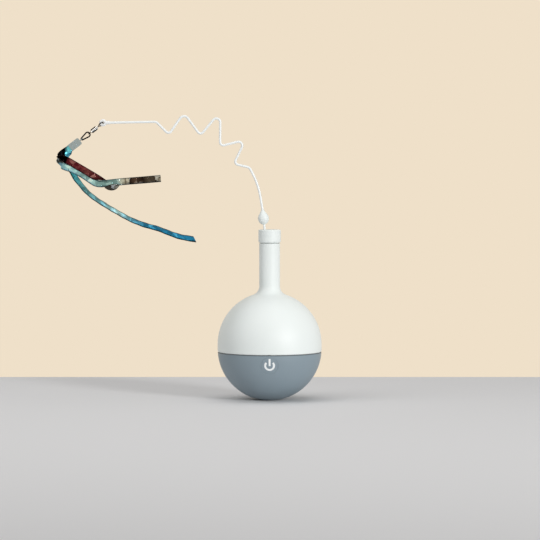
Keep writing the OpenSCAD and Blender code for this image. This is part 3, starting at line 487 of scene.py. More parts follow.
def pulled_wire(name, line, diameter, material, arc_points=1):
    return made_plain(name, line, bent_wire, {
        "Wire diameter": diameter, "Arc points": arc_points, "Wire sides": WIRE_SIDES,
        "Material": material,
    })


def wire_piece(name, node, body, line, diameter, material, arc_points=1):
    piece = pulled_wire(name, line, diameter, material, arc_points)
    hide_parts(node)
    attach(piece, body)
    return piece


print("wires have", WIRE_SIDES, "sides")

# %% [markdown]
# Wand
#
# The wand stands in a socket of the cap, off its axis, and reaches out to the eyelet that the swivel
# hangs in. Each bend is a corner with a radius: wide ones low down, where the wire bows, and tight
# ones in the zigzag, which makes the lure jump. The eyelet's place is read from the swivel's joint, so
# the wand ends where the swivel swings. Its coat is extruded, smoother and glossier than the shells.

# %% Wand
WIRE_DIAMETER = 1.8 * MM
SOCKET_DEPTH = 4.95 * MM
EYELET_DIAMETER = 5 * MM
TIP_GAP = 0.3 * MM
WAND_OFFSET = 3.9 * MM
COAT_GRAIN_DEPTH_MM = 0.003
EYELET = Vector(joints["swivel_swing"]["pos_m"])
# For each bend: how far out and up from the wand's foot, and its radius, in mm.
WAND_BENDS = [
    (0, 1.2, 12), (-1.6, 15.8, 30), (-4.8, 35, 60), (-11.6, 47.7, 3.3), (-23.5, 50.6, 2.5),
    (-14.5, 69, 3), (-34.1, 64, 2.5), (-33.9, 90.7, 3), (-49.2, 72.3, 2.5), (-61.8, 89.6, 3.6),
    (-73.4, 73, 2.5), (-83.1, 82.8, 4),
]

wand_foot = Vector((-WAND_OFFSET, 0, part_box("spinner_cap")[1].z))
corners = [wand_foot + Vector((x, 0, z)) * MM for x, z, radius in WAND_BENDS]
tip = EYELET + (corners[-1] - EYELET).normalized() * (EYELET_DIAMETER / 2 + TIP_GAP)
wand_line = [wand_foot - Vector((0, 0, SOCKET_DEPTH))] + corners + [tip]
wand_radii = [0.0] + [radius * MM for x, z, radius in WAND_BENDS] + [0.0]
coated_wire = moulded_plastic(
    "white_coated_spring_wire", "#f6f9f8", "#f1f5f4", 0.36, depth_mm=COAT_GRAIN_DEPTH_MM,
)
wire_piece(
    "wand_wire", "wand", "spinner", wire_line("wand", wand_line, radii=wand_radii),
    WIRE_DIAMETER, coated_wire, arc_points=14,
)

# %% [markdown]
# Drop bead
#
# The bead that stops the wand in the cap is moulded as a drop. Its mould was turned on a lathe, so the
# drop is given as a lathe would cut it: stops along the stem with a radius at each, and a smooth line
# through them.

# %% Bead
# For each stop: how far along the stem, and the radius there, in mm.
BEAD_STOPS = [
    (2.9, 1), (2.95, 1.5), (3.3, 2.1), (3.8, 2.7), (4.7, 3.45), (6.1, 4.05), (7.4, 4.2), (8.5, 4.1),
    (9.7, 3.65), (10.5, 3.2), (11.2, 2.7), (12, 2.15), (12.7, 1.7), (13.3, 1.35), (14, 1.15), (14.1, 1),
]
LATHE_STEPS = 4


def eased(a, b, c, d, t):
    """A point between b and c on the smooth curve that also heeds a and d."""
    return b + 0.5 * t * (c - a + t * (2 * a - 5 * b + 4 * c - d + t * (3 * (b - c) + d - a)))


def smooth_run(stations, steps):
    last = len(stations) - 1
    run = []
    for i in range(last):
        before, after = stations[max(i - 1, 0)], stations[min(i + 2, last)]
        for j in range(steps):
            run.append(eased(before, stations[i], stations[i + 1], after, j / steps))
    return run + [stations[last]]


def turned(name, node, body, stops, start, along, material):
    profile = smooth_run([Vector(stop) * MM for stop in stops], LATHE_STEPS)
    widest = max(radius for s, radius in profile)
    points = [start + s * along for s, radius in profile]
    line = wire_line(name, points, girths=[radius / widest for s, radius in profile])
    wire_piece(name, node, body, line, 2 * widest, material)


stem = (corners[1] - corners[0]).normalized()
turned("drop_bead", "wand_bead", "spinner", BEAD_STOPS, corners[0], stem, white_abs)

# %% [markdown]
# Snap
#
# The snap is a loop of sprung wire, wide where the swivel's eye sits and narrow where the clip hangs.
# Two arcs and the straight lines between them make its line, and the same tree pulls the wire. A curve
# drawn by hand could do, but arcs stay round where other pieces hang in them. The chain's direction is
# the axis on which the swivel spins, and its pieces are placed along that axis and beside it.

# %% Snap
BACKWARD = Vector((0, 1, 0))
ALONG = Vector(joints["swivel_spin"]["axis"]).normalized()
BESIDE = ALONG.cross(BACKWARD)
SNAP_START = 13.0 * MM
SNAP_LENGTH = 7.9 * MM
SNAP_WIRE = 1.08 * MM
SNAP_WIDE = 1.85 * MM
SNAP_NARROW = 0.8 * MM
ARC_POINTS = 24


def chain_arc(middle, radius, start, turn):
    for i in range(ARC_POINTS + 1):
        angle = start + turn * i / ARC_POINTS
        reach = middle + radius * math.cos(angle)
        yield EYELET + reach * ALONG + radius * math.sin(angle) * BESIDE


snap_far = SNAP_LENGTH - SNAP_NARROW
snap_lean = math.asin((SNAP_WIDE - SNAP_NARROW) / (snap_far - SNAP_WIDE))
snap_line = [
    *chain_arc(SNAP_START + SNAP_WIDE, SNAP_WIDE, math.pi / 2 - snap_lean, math.pi + 2 * snap_lean),
    *chain_arc(SNAP_START + snap_far, SNAP_NARROW, snap_lean - math.pi / 2, math.pi - 2 * snap_lean),
]
wire_piece(
    "snap_wire", "snap", "snap_link", wire_line("snap", snap_line, closed=True), SNAP_WIRE,
    black_nickel,
)

# %% [markdown]
# Barrel of the swivel
#
# The barrel is turned from two bright bars: a collar, and a body with a groove and a rounded lip,
# where the wire of the eye comes out. The lathe's stops along the bar and the radius at each are its
# girths. A frame of black wire runs round it as painted shade: it draws a dark line along each side of
# the barrel. A longer barrel takes other numbers in the same lists.

# %% Barrel
BARREL_START = 5.0 * MM
# For each stop: how far along the barrel, and the radius there, in mm.
COLLAR_STOPS = [
    (0, 0.35), (0.05, 0.75), (0.25, 1), (0.6, 1.14), (1.3, 1.18), (2, 1.12), (2.35, 0.96), (2.5, 0.8),
    (2.55, 0.5),
]
BODY_STOPS = [
    (2.5, 0.5), (2.55, 0.7), (2.75, 0.82), (3.1, 0.88), (4.6, 0.88), (5.2, 0.84), (5.6, 0.78),
    (5.75, 0.74), (5.95, 0.82), (6.2, 0.8), (6.35, 0.62), (6.4, 0.35),
]
# painted shade: a black wire frame that lays a dark line along each side of the barrel
FRAME_WIRE = 0.9 * MM
FRAME_BEND = 0.7 * MM
# For each corner: how far along the chain and beside it, in mm.
FRAME_CORNERS = [(6.2, 1.2), (10.9, 1.2), (10.9, -1.2), (6.2, -1.2)]

barrel_start = EYELET + BARREL_START * ALONG
for name, stops in (("barrel_collar", COLLAR_STOPS), ("barrel_body", BODY_STOPS)):
    turned(name, "swivel_barrel", "barrel", stops, barrel_start, ALONG, bright_nickel)
shade_frame_line = wire_line(
    "barrel_shade_frame", [EYELET + MM * (s * ALONG + off * BESIDE) for s, off in FRAME_CORNERS],
    closed=True, radii=[FRAME_BEND] * len(FRAME_CORNERS),
)
wire_piece(
    "barrel_shade_frame", "swivel_barrel", "barrel", shade_frame_line, FRAME_WIRE, black_nickel,
    arc_points=8,
)

# %% [markdown]
# Eyes of the swivel
#
# Each eye is a ring of wire whose tail runs into the barrel. One hangs in the eyelet, and the other
# holds the snap. Ring and tail are pulled by the wire tree and then joined to one mesh, because on the
# real swivel they are one wire. Eyes of other wire take other numbers in the list.

# %% Eyes
# For each eye: its name, solid and body, the wire in mm, how far it is turned about the chain in
# degrees, and the ring's middle, its radius and the tail's end along the chain in mm.
EYES = [
    ("first_eye", "swivel_eye", "swivel", 0.85, 25, 1.9, 1.9, 5.6),
    ("second_eye", "snap_eye", "barrel", 0.6, 0, 13, 1.15, 10.8),
]


def join_wire(target, name, line, diameter, material):
    extra = pulled_wire(name, line, diameter, material)
    build = bmesh.new()
    build.from_mesh(target.data)
    build.from_mesh(extra.data)
    build.to_mesh(target.data)
    build.free()
    bpy.data.objects.remove(extra)


for name, node, body, wire, turn, middle, radius, tail_end in EYES:
    about = math.radians(turn)
    sideways = math.cos(about) * BACKWARD + math.sin(about) * BESIDE
    angles = [math.pi * i / ARC_POINTS for i in range(2 * ARC_POINTS)]
    ring_line = [
        EYELET + MM * ((middle + radius * math.cos(a)) * ALONG + radius * math.sin(a) * sideways)
        for a in angles
    ]
    tail_start = middle + math.copysign(radius, tail_end - middle)
    tail_line = [EYELET + s * MM * ALONG for s in (tail_start, tail_end)]
    eye = wire_piece(
        name, node, body, wire_line(name, ring_line, closed=True), wire * MM, black_nickel,
    )
    join_wire(eye, name + "_tail", wire_line(name, tail_line), wire * MM, black_nickel)

# %% [markdown]
# Milky plastic
#
# The eyelet is moulded over the wand's end in clear polypropylene that looks milky, because it is full
# of flow marks. Some of the light goes through it and the rest comes back white. A little transmission
# on a white base gives both, and noise as wide as the flow marks makes the surface uneven.

# %% Milky plastic material
FLOW_MM = 1.5
FLOW_DEPTH_MM = 0.05
FLOW_STRENGTH = 0.2

milky_resin, milky_tree, milky_shader = new_material(
    "milky_polypropylene",
    {"Base Color": linear("#fdfefd"), "Roughness": 0.3, "IOR": 1.49, "Transmission Weight": 0.12},
)
milky_place = add_node(milky_tree, "ShaderNodeTexCoord")
milky_flow = add_node(
    milky_tree, "ShaderNodeTexNoise",
    {"Vector": milky_place.outputs["Object"], "Scale": 1 / (FLOW_MM * MM), "Detail": 2.0},
)
milky_bump = add_node(
    milky_tree, "ShaderNodeBump",
    {"Strength": FLOW_STRENGTH, "Distance": FLOW_DEPTH_MM * MM, "Height": milky_flow.outputs["Fac"]},
)
milky_tree.links.new(milky_bump.outputs[0], milky_shader.inputs["Normal"])
print(milky_resin.name, "has flow marks", FLOW_MM, "mm wide")

# %% [markdown]
# Eyelet
#
# It is a ring with a round section and a short sleeve over the wire, whose lip thins out. The wire
# tree makes both, and they are joined, because they leave the mould as one piece.

# %% Eyelet
RING_RADIUS = 1.75 * MM
RING_SECTION = 2.2 * MM
SLEEVE_LENGTH = 3 * MM
SLEEVE_LIP = 0.75 * MM
SLEEVE_DIAMETER = 2.7 * MM
LIP_GIRTH = 0.8

ring = list(chain_arc(0, RING_RADIUS, 0, math.tau))[:-1]
eyelet = wire_piece(
    "moulded_eyelet", "wand_eyelet", "spinner", wire_line("ring", ring, closed=True),
    RING_SECTION, milky_resin,
)
towards_wand = (tip - EYELET).normalized()
sleeve_end = RING_RADIUS + SLEEVE_LENGTH
sleeve = [EYELET + s * towards_wand for s in (RING_RADIUS, sleeve_end, sleeve_end + SLEEVE_LIP)]
sleeve_line = wire_line("sleeve", sleeve, girths=[1, 1, LIP_GIRTH])
join_wire(eyelet, "eyelet_sleeve", sleeve_line, SLEEVE_DIAMETER, milky_resin)

# %% [markdown]
# Foil: the tint and the shards
#
# The ribbons are metallised polyester film with a shattered-glass embossing: flat shards a few
# millimetres across, each tilted a little against the next, so each throws back another part of the
# room. A cell pattern gives the shards, and each shard's own grey, faded by creases, says how far
# it is tilted. The tint changes along the film, which a colour ramp gives. Both follow the film, so
# they read the strip's own UV map, which is laid out in metres along and across the ribbon.

# %% Tint and shards of the film
SHARD_MM = 3.2
CREASE_MM = 9


def film_tint(tree, along, tints):
    """tints is a list of places along the film, in mm, and the colour there."""
    film_end = tints[-1][0]
    gone = add_node(tree, "ShaderNodeMath", {0: along, 1: film_end * MM}, operation="DIVIDE")
    ramp = add_node(tree, "ShaderNodeValToRGB", {"Fac": gone.outputs[0]})
    stops = ramp.color_ramp.elements
    stops.remove(stops[1])
    stops[0].color = linear(tints[0][1])
    for distance, colour in tints[1:]:
        stops.new(distance / film_end).color = linear(colour)
    return ramp.outputs["Color"]


def film_tilt(tree, place):
    """How far the shard at a place on the film is tilted."""
    shards = add_node(tree, "ShaderNodeTexVoronoi", {"Vector": place, "Scale": 1 / (SHARD_MM * MM)})
    grey = add_node(tree, "ShaderNodeRGBToBW", {"Color": shards.outputs["Color"]})
    creases = add_node(
        tree, "ShaderNodeTexNoise", {"Vector": place, "Scale": 1 / (CREASE_MM * MM), "Detail": 3.0},
    )
    tilt = add_node(
        tree, "ShaderNodeMath", {0: grey.outputs[0], 1: creases.outputs["Fac"]}, operation="MULTIPLY",
    )
    return tilt.outputs[0]


print("shards are", SHARD_MM, "mm across and creases", CREASE_MM, "mm apart")

# %% [markdown]
# Foil: the film
#
# A shard that is tilted further gets a brighter painted reflection, and the ones that are tilted most
# get a painted glint. The slit edges curl out of the light, and their shade is painted in as a darker
# colour towards each edge. The reverse has a plain coat, so the mesh says which side a point is on. The
# same tilt goes into the normal as a bump, so that the shards also glint in other light.

# %% Foil film material
RIBBON_WIDTH = 5.4 * MM
FILM_ROUGHNESS = 0.24
PAINTED_REFLECTION_TILTS = {"From Min": 0.1, "From Max": 0.45, "To Min": 0.5, "To Max": 1.45}
PAINTED_GLINT_TILTS = {"From Min": 0.3, "From Max": 0.5, "To Max": 0.55}
PAINTED_EDGE_SHADE_PLACES = {"From Min": 0.28 * RIBBON_WIDTH, "From Max": 0.5 * RIBBON_WIDTH}
REVERSE_SIDES = {"From Min": 0.1, "From Max": -0.1}
SHARD_DEPTH_MM = 0.3
SHARD_STRENGTH = 0.5


def foil_film(name, tints, painted_glint, edge, reverse):
    material, tree, shader = new_material(name, {"Metallic": 1.0, "Roughness": FILM_ROUGHNESS})
    place = add_node(tree, "ShaderNodeUVMap", uv_map="film").outputs["UV"]
    parts = add_node(tree, "ShaderNodeSeparateXYZ", {"Vector": place})
    tint = film_tint(tree, parts.outputs["X"], tints)
    tilt = film_tilt(tree, place)
    # painted reflection: a shard is painted brighter the further it is tilted
    bright = add_node(tree, "ShaderNodeMapRange", {"Value": tilt, **PAINTED_REFLECTION_TILTS})
    shard = add_node(tree, "ShaderNodeHueSaturation", {"Color": tint, "Value": bright.outputs[0]})
    off_middle = add_node(tree, "ShaderNodeMath", {0: parts.outputs["Y"]}, operation="ABSOLUTE")
    side = add_node(tree, "ShaderNodeAttribute", attribute_name="side")
    colour = shard.outputs[0]
    # painted glint on the most tilted shards, painted shade towards the edges, then the plain reverse
    for share, limits, over in (
        (tilt, PAINTED_GLINT_TILTS, painted_glint), (off_middle.outputs[0], PAINTED_EDGE_SHADE_PLACES, edge),
        (side.outputs["Fac"], REVERSE_SIDES, reverse),
    ):
        amount = add_node(tree, "ShaderNodeMapRange", {"Value": share, **limits})
        mixed = add_node(
            tree, "ShaderNodeMix",
            {"Factor": amount.outputs[0], MIX_FROM: colour, MIX_TO: linear(over)}, data_type="RGBA",
        )
        colour = mixed.outputs[MIXED]
    bump = add_node(
        tree, "ShaderNodeBump",
        {"Strength": SHARD_STRENGTH, "Distance": SHARD_DEPTH_MM * MM, "Height": tilt},
    )
    tree.links.new(colour, shader.inputs["Base Color"])
    tree.links.new(bump.outputs[0], shader.inputs["Normal"])
    return material


print("film is", round(RIBBON_WIDTH / MM, 1), "mm wide")

# %% [markdown]
# Foil: three colours
#
# The red film starts black in the clip and shows its colour from the fold on. The silver one is pale
# blue up to the nick in its edge, and brown in darker and lighter bands behind it. The blue one pales
# in the middle, which is a painted highlight, and is deep blue at its end. Each could be painted by
# hand, but a list of places and tints is easier to change.

# %% Three films
# The first colour after the tints is each film's painted glint, the second its painted edge shade, the
# third its reverse coat.
red_film = foil_film(
    "red_polyester_foil",
    [(0, "#030304"), (27.6, "#030304"), (28.3, "#5f222b"), (40, "#5f222b"), (45.5, "#8a5052"),
     (50, "#6a3036"), (56, "#3a1a1c"), (62, "#24090c")],
    painted_glint="#b8928f", edge="#0a0304", reverse="#030304",
)
silver_film = foil_film(
    "silver_polyester_foil",
    [(0, "#93cadc"), (30, "#a4dfee"), (54, "#a8dde8"), (61, "#86b4bd"), (73.5, "#82aab1"),
     (76, "#a6b2ac"), (78.6, "#a5a89d"), (79.4, "#6f685d"), (80.4, "#b4b4a8"), (81.8, "#b0b0a4"),
     (82.6, "#2c211d"), (88, "#5d4c42"), (93, "#2e2521"), (100, "#6d665c"), (103, "#4a433c"),
     (107, "#8a887c")],
    painted_glint="#e2eef2", edge="#141c1e", reverse="#8d989a",
)
blue_film = foil_film(
    "blue_polyester_foil",
    # the pale tints from 46 to 76 mm are a painted highlight
    [(0, "#74cfe4"), (12, "#66c6de"), (19, "#2f9cb4"), (32, "#3d9ab2"), (46, "#6cb0c2"),
     (62, "#6aa8bc"), (76, "#98c4d0"), (88, "#4f8ca4"), (100, "#1c6485"), (140, "#195d7e")],
    painted_glint="#4a8fa8", edge="#061c28", reverse="#071a24",
)
print("films", red_film.name, silver_film.name, blue_film.name)

# %% [markdown]
# Ribbon routes
#
# Each ribbon runs from inside the clip out through its mouth, folds round and flies off in the wind
# of the turn. Its route is a list of stations that follow its solid, with the folds by the clip drawn
# a little closer to how film falls. A station is measured from the clip's mouth and has the film's
# twist: at 0 its face looks to the front, and at -180 its reverse does. A smooth curve through the
# stations gives the middle line.

# %% Ribbon routes
CLIP_START = 22.3 * MM
CLIP_LENGTH = 9.5 * MM
TUCK = 2 * MM
LIP = 1 * MM
# For each station: x, y and z from the clip's mouth, in mm, and the twist, in degrees.
RED_RUN = [
    (-3.4, -0.1, -2.2, -178), (-6.4, -0.8, -4.4, -168), (-8.3, -2.2, -6.5, -142),
    (-8.5, -4, -7.9, -82), (-7.2, -5.2, -7.9, -35), (-4.4, -5.5, -8.3, -10), (0, -5.5, -10.5, 0),
    (6, -5.5, -14, 0), (13, -5.5, -18.1, 0), (20, -5.5, -22.3, 0), (23.2, -5.5, -24.4, 0),
]
SILVER_RUN = [
    (-3.2, 0.8, -3.2, -178), (-6.4, 1.6, -7, -165), (-8.6, 2.2, -10.4, -158),
    (-8.8, 1.4, -12.4, -100), (-6.8, 0, -13.3, -22), (-3, -1.6, -14.7, -8), (2.8, -2.6, -16.6, -4),
    (10.5, -2.8, -20.8, 0), (17.3, -2.8, -25.4, 0), (20.3, -2.8, -26.9, 3), (24, -2.8, -27.3, 6),
    (30, -2.8, -26.7, 4), (37.5, -2.8, -25.9, 0), (45.5, -2.8, -25.2, 0), (57, -2.8, -24.3, 0),
    (69.6, -2.8, -23.2, 0),
]
BLUE_RUN = [
    (-1.2, -0.9, -2.6, 5), (-2.2, -0.4, -5.6, 40), (-2.8, 1.4, -8.6, 60), (-2, 3.2, -12, 50),
    (-0.4, 4, -14.8, 40), (1.3, 4.4, -17.8, 40), (3.9, 4.4, -22.8, 44), (8.2, 4.4, -28.4, 50),
    (12.1, 4.4, -33, 52), (16.2, 4.4, -36.6, 54), (20.6, 4.4, -39.9, 55), (26, 4.2, -43.3, 55),
    (31.4, 4, -46.6, 55), (37.5, 4, -50.1, 55), (43.6, 4, -53.5, 54), (49, 4, -56, 52),
    (54.4, 4, -58.1, 50), (59.6, 4, -59.8, 50), (66, 4, -61.5, 50), (72.8, 4, -64, 50),
    (78.4, 4, -66.2, 48), (84.4, 4, -68.1, 45), (90, 4, -69.2, 42), (95.5, 4, -70.1, 40),
]
clip_mouth = EYELET + (CLIP_START + CLIP_LENGTH) * ALONG


def run_stations(run):
    return [
        Vector((*(clip_mouth + Vector((x, y, z)) * MM), math.radians(twist)))
        for x, y, z, twist in run
    ]


def ribbon_stations(run, layer, turn):
    inside = clip_mouth - (CLIP_LENGTH - TUCK) * ALONG + layer * BACKWARD
    edge = clip_mouth + LIP * ALONG + layer * BACKWARD
    held = [Vector((*point, math.radians(turn))) for point in (inside, edge)]
    return held + run_stations(run)


print("clip's mouth at", [round(v / MM, 1) for v in clip_mouth], "mm")

# %% [markdown]
# Foil strips: the section
#
# Film is slit from a wide roll into strips, so a strip keeps its section all the way, and only its
# line and its twist change. The section is a very flat rectangle with a few cuts across its width.
# Each of its points keeps its place across and its side, because the finish of the film needs both.

# %% Section of a strip
def film_section(tree, given):
    """The flat section, with its place across and its side on each point."""
    slit = add_node(
        tree, "GeometryNodeCurvePrimitiveQuadrilateral",
        {"Width": given["Width"], "Height": given["Thickness"]},
    )
    section = add_node(
        tree, "GeometryNodeSubdivideCurve", {"Curve": slit.outputs[0], "Cuts": given["Cuts"]},
    )
    spot = add_node(tree, "GeometryNodeInputPosition")
    parts = add_node(tree, "ShaderNodeSeparateXYZ", {"Vector": spot.outputs[0]})
    side = add_node(
        tree, "ShaderNodeMath", {0: parts.outputs["Y"], 1: given["Thickness"]}, operation="DIVIDE",
    )
    for name, value in (("span", parts.outputs["X"]), ("side", side.outputs[0])):
        section = add_node(
            tree, "GeometryNodeStoreNamedAttribute",
            {"Geometry": section.outputs[0], "Name": name, "Value": value},
        )
    return section.outputs[0]


# %% [markdown]
# Foil strips: the shift
#
# Thin film is never quite flat: it ripples a little, its edges curl back, and its end is cut at a
# slant. A simulation could find such ripples by itself, but a wave, a power and a slant can be tuned
# one by one. Together they shift each point off the plain strip.

# %% Shift of a strip
# The ripple gains this many waves per metre across the film.
RIPPLE_SKEW = 80
CURL_POWER = 4


def film_shift(tree, given, carried):
    """How far ripple, curl and slant move each point of a strip."""
    waves = add_node(
        tree, "ShaderNodeMath", {0: carried["gone"], 1: given["Ripple length"]}, operation="DIVIDE",
    )
    skewed = add_node(
        tree, "ShaderNodeMath", {0: carried["span"], 1: RIPPLE_SKEW, 2: waves.outputs[0]},
        operation="MULTIPLY_ADD",
    )
    angle = add_node(
        tree, "ShaderNodeMath", {0: skewed.outputs[0], 1: math.tau}, operation="MULTIPLY",
    )
    wave = add_node(tree, "ShaderNodeMath", {0: angle.outputs[0]}, operation="SINE")
    ripple = add_node(
        tree, "ShaderNodeMath", {0: wave.outputs[0], 1: given["Ripple"]}, operation="MULTIPLY",
    )
    half = add_node(tree, "ShaderNodeMath", {0: given["Width"], 1: 0.5}, operation="MULTIPLY")
    off_middle = add_node(
        tree, "ShaderNodeMath", {0: carried["span"], 1: half.outputs[0]}, operation="DIVIDE",
    )
    outer = add_node(
        tree, "ShaderNodeMath", {0: off_middle.outputs[0], 1: CURL_POWER}, operation="POWER",
    )
    curl = add_node(
        tree, "ShaderNodeMath", {0: outer.outputs[0], 1: given["Edge curl"]}, operation="MULTIPLY",
    )
    free = add_node(
        tree, "ShaderNodeMath", {0: ripple.outputs[0], 1: curl.outputs[0]}, operation="SUBTRACT",
    )
    lift = add_node(
        tree, "ShaderNodeMath", {0: free.outputs[0], 1: carried["loose"]}, operation="MULTIPLY",
    )
    lifted = add_node(
        tree, "ShaderNodeVectorMath", {"Vector": carried["face"], "Scale": lift.outputs[0]},
        operation="SCALE",
    )
    slanted = add_node(
        tree, "ShaderNodeVectorMath", {"Vector": carried["lean"], "Scale": off_middle.outputs[0]},
        operation="SCALE",
    )
    shift = add_node(
        tree, "ShaderNodeVectorMath", {0: lifted.outputs[0], 1: slanted.outputs[0]}, operation="ADD",
    )
    return shift.outputs[0]


print("film ripples by", round(RIPPLE_SKEW * RIBBON_WIDTH, 2), "of a wave across its width")

# %% [markdown]
# Foil strips: the tree
#
# A strip is again a sweep, here of the flat section, and the curve's own normal, set from the twist,
# turns it. A plane could be bent along the line by a modifier instead, but would not take a twist at
# each station. The tree ends by storing the place along and across as the UV map of the film.

# %% Foil strip tree
CARRIED = {
    "across": "FLOAT_VECTOR", "face": "FLOAT_VECTOR", "lean": "FLOAT_VECTOR", "gone": "FLOAT",
    "loose": "FLOAT", "swell": "FLOAT", "span": "FLOAT",
}


def foil_strip_tree():
    tree, given = new_tree("foil_strip", {
        "Width": "Float", "Thickness": "Float", "Cuts": "Int", "Edge curl": "Float",
        "Ripple": "Float", "Ripple length": "Float", "Material": "Material",
    })
    carried = {}
    for name, kind in CARRIED.items():
        value = add_node(tree, "GeometryNodeInputNamedAttribute", {"Name": name}, data_type=kind)
        carried[name] = value.outputs[0]
    line = add_node(tree, "GeometryNodeMeshToCurve", {"Mesh": given["Geometry"]})
    twisted = add_node(
        tree, "GeometryNodeSetCurveNormal",
        {"Curve": line.outputs[0], "Normal": carried["across"]}, mode="FREE",
    )
    sheet = add_node(
        tree, "GeometryNodeCurveToMesh",
        {"Curve": twisted.outputs[0], "Profile Curve": film_section(tree, given),
         "Scale": carried["swell"], "Fill Caps": True},
    )
    film = add_node(
        tree, "GeometryNodeSetPosition",
        {"Geometry": sheet.outputs[0], "Offset": film_shift(tree, given, carried)},
    )
    flat = add_node(tree, "ShaderNodeCombineXYZ", {"X": carried["gone"], "Y": carried["span"]})
    mapped = add_node(
        tree, "GeometryNodeStoreNamedAttribute",
        {"Geometry": film.outputs[0], "Name": "film", "Value": flat.outputs[0]},
        data_type="FLOAT2", domain="CORNER",
    )
    end_tree(tree, mapped.outputs[0], given["Material"])
    return tree


foil_strip = foil_strip_tree()

# %% [markdown]
# Lines for the film
#
# The tree needs more than a bare line: at each point it needs the way across the film and the way its
# face looks, the length so far, how free the film is of the clip, and how the slanted cut pulls it.
# They are worked out from the stations and stored on the points. A leaf is a strip whose width swells
# and shrinks again.

# %% Middle line of a strip
LOOSE_LENGTH = 2 * CLIP_LENGTH
SLANT_POWER = 10
LEAF_TIP = 0.04
LEAF_SWELL = 0.9
LEAF_ROUNDNESS = 0.8


def film_line(name, stations, slant, start=0.0, leaf=False):
    """The middle line of a strip as a mesh for its tree, its points and its length."""
    line = [s.to_3d() for s in stations]
    gone = [0.0]
    for a, b in zip(line, line[1:]):
        gone.append(gone[-1] + (b - a).length)
    share = [g / gone[-1] for g in gone]
    across, face, lean = [], [], []
    for i, station in enumerate(stations):
        ahead = (line[min(i + 1, len(line) - 1)] - line[max(i - 1, 0)]).normalized()
        level = ahead.cross(BACKWARD).normalized()
        depth = level.cross(ahead)
        wide = math.cos(station.w) * level + math.sin(station.w) * depth
        across.extend(wide)
        face.extend(ahead.cross(wide))
        lean.extend(slant * share[i] ** SLANT_POWER * ahead)
    swell = [1.0] * len(line)
    if leaf:
        swell = [LEAF_TIP + math.sin(math.pi * s) ** LEAF_ROUNDNESS * LEAF_SWELL for s in share]
    mesh = bpy.data.meshes.new(name + "_line")
    mesh.from_pydata(line, [(i, i + 1) for i in range(len(line) - 1)], [])
    carried = {
        "across": across, "face": face, "lean": lean, "gone": [start + g for g in gone],
        "loose": [min(1, g / LOOSE_LENGTH) ** 2 for g in gone], "swell": swell,
    }
    for label, values in carried.items():
        point_values(mesh, label, CARRIED[label], values)
    return mesh, line, gone[-1]


print("film ripples freely", round(LOOSE_LENGTH / MM), "mm from its start")

# %% [markdown]
# Red and blue ribbon
#
# The three films lie in layers in the clip and fly free beyond it, so each is a limp flat cord with a
# bare end. The clip's jaws hold the first few millimetres flat. Red and blue are laid first, since
# the silver one carries a piece of its own.

# %% Lay two ribbons
LAYER_GAP = 0.45 * MM
# A slant is how much further than its middle a film's upper edge runs at its cut end.
RED_SLANT = 4.6 * MM
BLUE_SLANT = -1.5 * MM
RIBBON_STEPS = 8
FILM = {
    "Width": RIBBON_WIDTH, "Thickness": 0.3 * MM, "Cuts": 6, "Edge curl": 0.22 * MM,
    "Ripple": 0.1 * MM, "Ripple length": 9 * MM,
}


def lay_ribbon(name, node, run, material, layer, turn, slant):
    """A ribbon from its layer in the clip, with its turn there and the slant of its cut end."""
    stations = smooth_run(ribbon_stations(run, layer, turn), RIBBON_STEPS)
    mesh, line, length = film_line(name, stations, slant)
    ribbon = made_plain(name, mesh, foil_strip, {**FILM, "Material": material})
    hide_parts(node)
    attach(ribbon, "streamer")
    print(name, round(length / MM), "mm long")


lay_ribbon(
    "foil_red", "ribbon_red", RED_RUN, red_film, layer=0, turn=-180, slant=RED_SLANT,
)
lay_ribbon(
    "foil_blue", "ribbon_blue", BLUE_RUN, blue_film, layer=-LAYER_GAP, turn=0,
    slant=BLUE_SLANT,
)

# %% [markdown]
# The turned-out edge
#
# Near its bend the silver film has a nick, and a leaf-shaped bit of its lower edge is turned out. It
# is one more short strip, which swells from a point and shrinks back, and it hangs on the ribbon.

# %% Silver ribbon and its leaf
LEAF_RUN = [
    (26.5, -3.4, -30.2, -15), (30, -3.9, -30.2, -20), (34, -3.9, -29.7, -20), (38, -3.4, -28.3, -15),
]
LEAF_TINT_START = 97 * MM

leaf_stations = smooth_run(run_stations(LEAF_RUN), RIBBON_STEPS)
leaf_mesh = film_line("leaf", leaf_stations, 0, start=LEAF_TINT_START, leaf=True)[0]
leaf = made_plain("silver_leaf", leaf_mesh, foil_strip, {**FILM, "Material": silver_film})
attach(leaf, "streamer")
lay_ribbon(
    "foil_silver", "ribbon_silver", SILVER_RUN, silver_film, layer=LAYER_GAP,
    turn=-180, slant=0,
)

# %% [markdown]
# Floor
#
# The toy stands on a plain pale floor that ends a little way behind it. One face is enough for a
# floor, because it only has to take the shadow. Matt paint keeps it free of reflections.

# %% Floor
FLOOR_FRONT = -0.9
FLOOR_BACK = 0.212
FLOOR_SIDE = 1.1
floor_mesh = bpy.data.meshes.new("floor")
floor_mesh.from_pydata(
    [(-FLOOR_SIDE, FLOOR_FRONT, 0), (FLOOR_SIDE, FLOOR_FRONT, 0), (FLOOR_SIDE, FLOOR_BACK, 0),
     (-FLOOR_SIDE, FLOOR_BACK, 0)], [], [(0, 1, 2, 3)],
)
floor = add_object("floor", floor_mesh)
floor_paint = new_material("matt_grey_paint", {"Base Color": linear("#e7e7e8"), "Roughness": 0.8})[0]
floor_mesh.materials.append(floor_paint)
print("floor", 2 * FLOOR_SIDE, "m wide and", round(FLOOR_BACK - FLOOR_FRONT, 2), "m deep")

# %% [markdown]
# Backdrop and room light
#
# A cream backdrop lies far behind. It is the world's colour for the camera, for reflections and for
# what shows through clear plastic, while the light that the world sheds is a soft white. A real sheet
# behind the toy could do the same, but would throw its cream on the white shells.

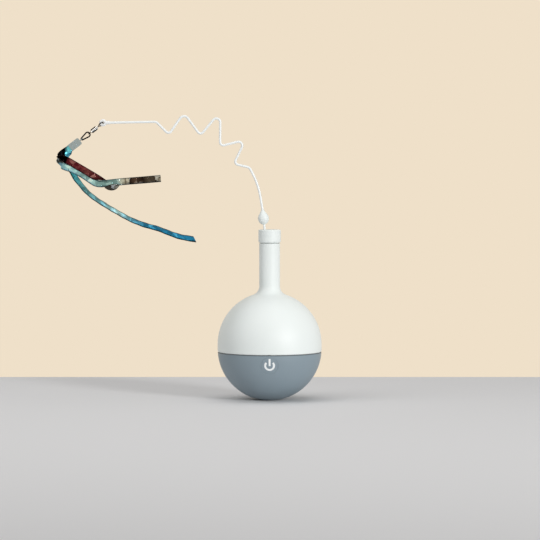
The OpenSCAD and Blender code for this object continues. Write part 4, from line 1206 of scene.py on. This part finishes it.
# %% World
BACKDROP_COLOUR = "#efe0c9"
ROOM_COLOUR = "#f6f8fb"
ROOM_LIGHT = 0.27
world = bpy.data.worlds.new("studio")
bpy.context.scene.world = world
world.use_nodes = True
sky = world.node_tree
sky.nodes.clear()
ray = add_node(sky, "ShaderNodeLightPath")
seen = add_node(
    sky, "ShaderNodeMath",
    {0: ray.outputs["Is Camera Ray"], 1: ray.outputs["Is Glossy Ray"]}, operation="MAXIMUM",
)
shown = add_node(
    sky, "ShaderNodeMath",
    {0: seen.outputs[0], 1: ray.outputs["Is Transmission Ray"]}, operation="MAXIMUM",
)
backdrop = add_node(
    sky, "ShaderNodeBackground", {"Color": linear(BACKDROP_COLOUR), "Strength": 1.0},
)
room = add_node(sky, "ShaderNodeBackground", {"Color": linear(ROOM_COLOUR), "Strength": ROOM_LIGHT})
either = add_node(
    sky, "ShaderNodeMixShader", {0: shown.outputs[0], 1: room.outputs[0], 2: backdrop.outputs[0]},
)
add_node(sky, "ShaderNodeOutputWorld", {"Surface": either.outputs[0]})
print("backdrop", BACKDROP_COLOUR, "and room light", ROOM_LIGHT)

# %% [markdown]
# Lamps
#
# A low soft box on the right shapes the ball. A grid before it keeps its beam narrow, so that the
# floor near it isn't burnt out. A weaker box on the left fills in, and one overhead softens the shadow
# under the ball. All of them are aimed at the ball, a little above its middle.

# %% Lamps
LAMP_AIM = Vector((0, 0, 0.05))
GRID_BEAM = 60
OPEN_BEAM = 180


def soft_box(name, spot, size, watts, beam):
    lamp = add_object(name, bpy.data.lights.new(name, "AREA"))
    lamp.data.size = size
    lamp.data.energy = watts
    lamp.data.spread = math.radians(beam)
    lamp.location = spot
    lamp.rotation_euler = (LAMP_AIM - Vector(spot)).to_track_quat("-Z", "Y").to_euler()
    print(name, watts, "W")


soft_box("key_soft_box", (1.55, -1.9, 0.66), size=0.6, watts=3.95, beam=GRID_BEAM)
soft_box("fill_soft_box", (-0.9, -0.5, 0.9), size=0.9, watts=3.2, beam=OPEN_BEAM)
soft_box("top_soft_box", (0, -0.1, 1.25), size=1.0, watts=4.2, beam=OPEN_BEAM)
bpy.context.scene.view_settings.view_transform = "Standard"
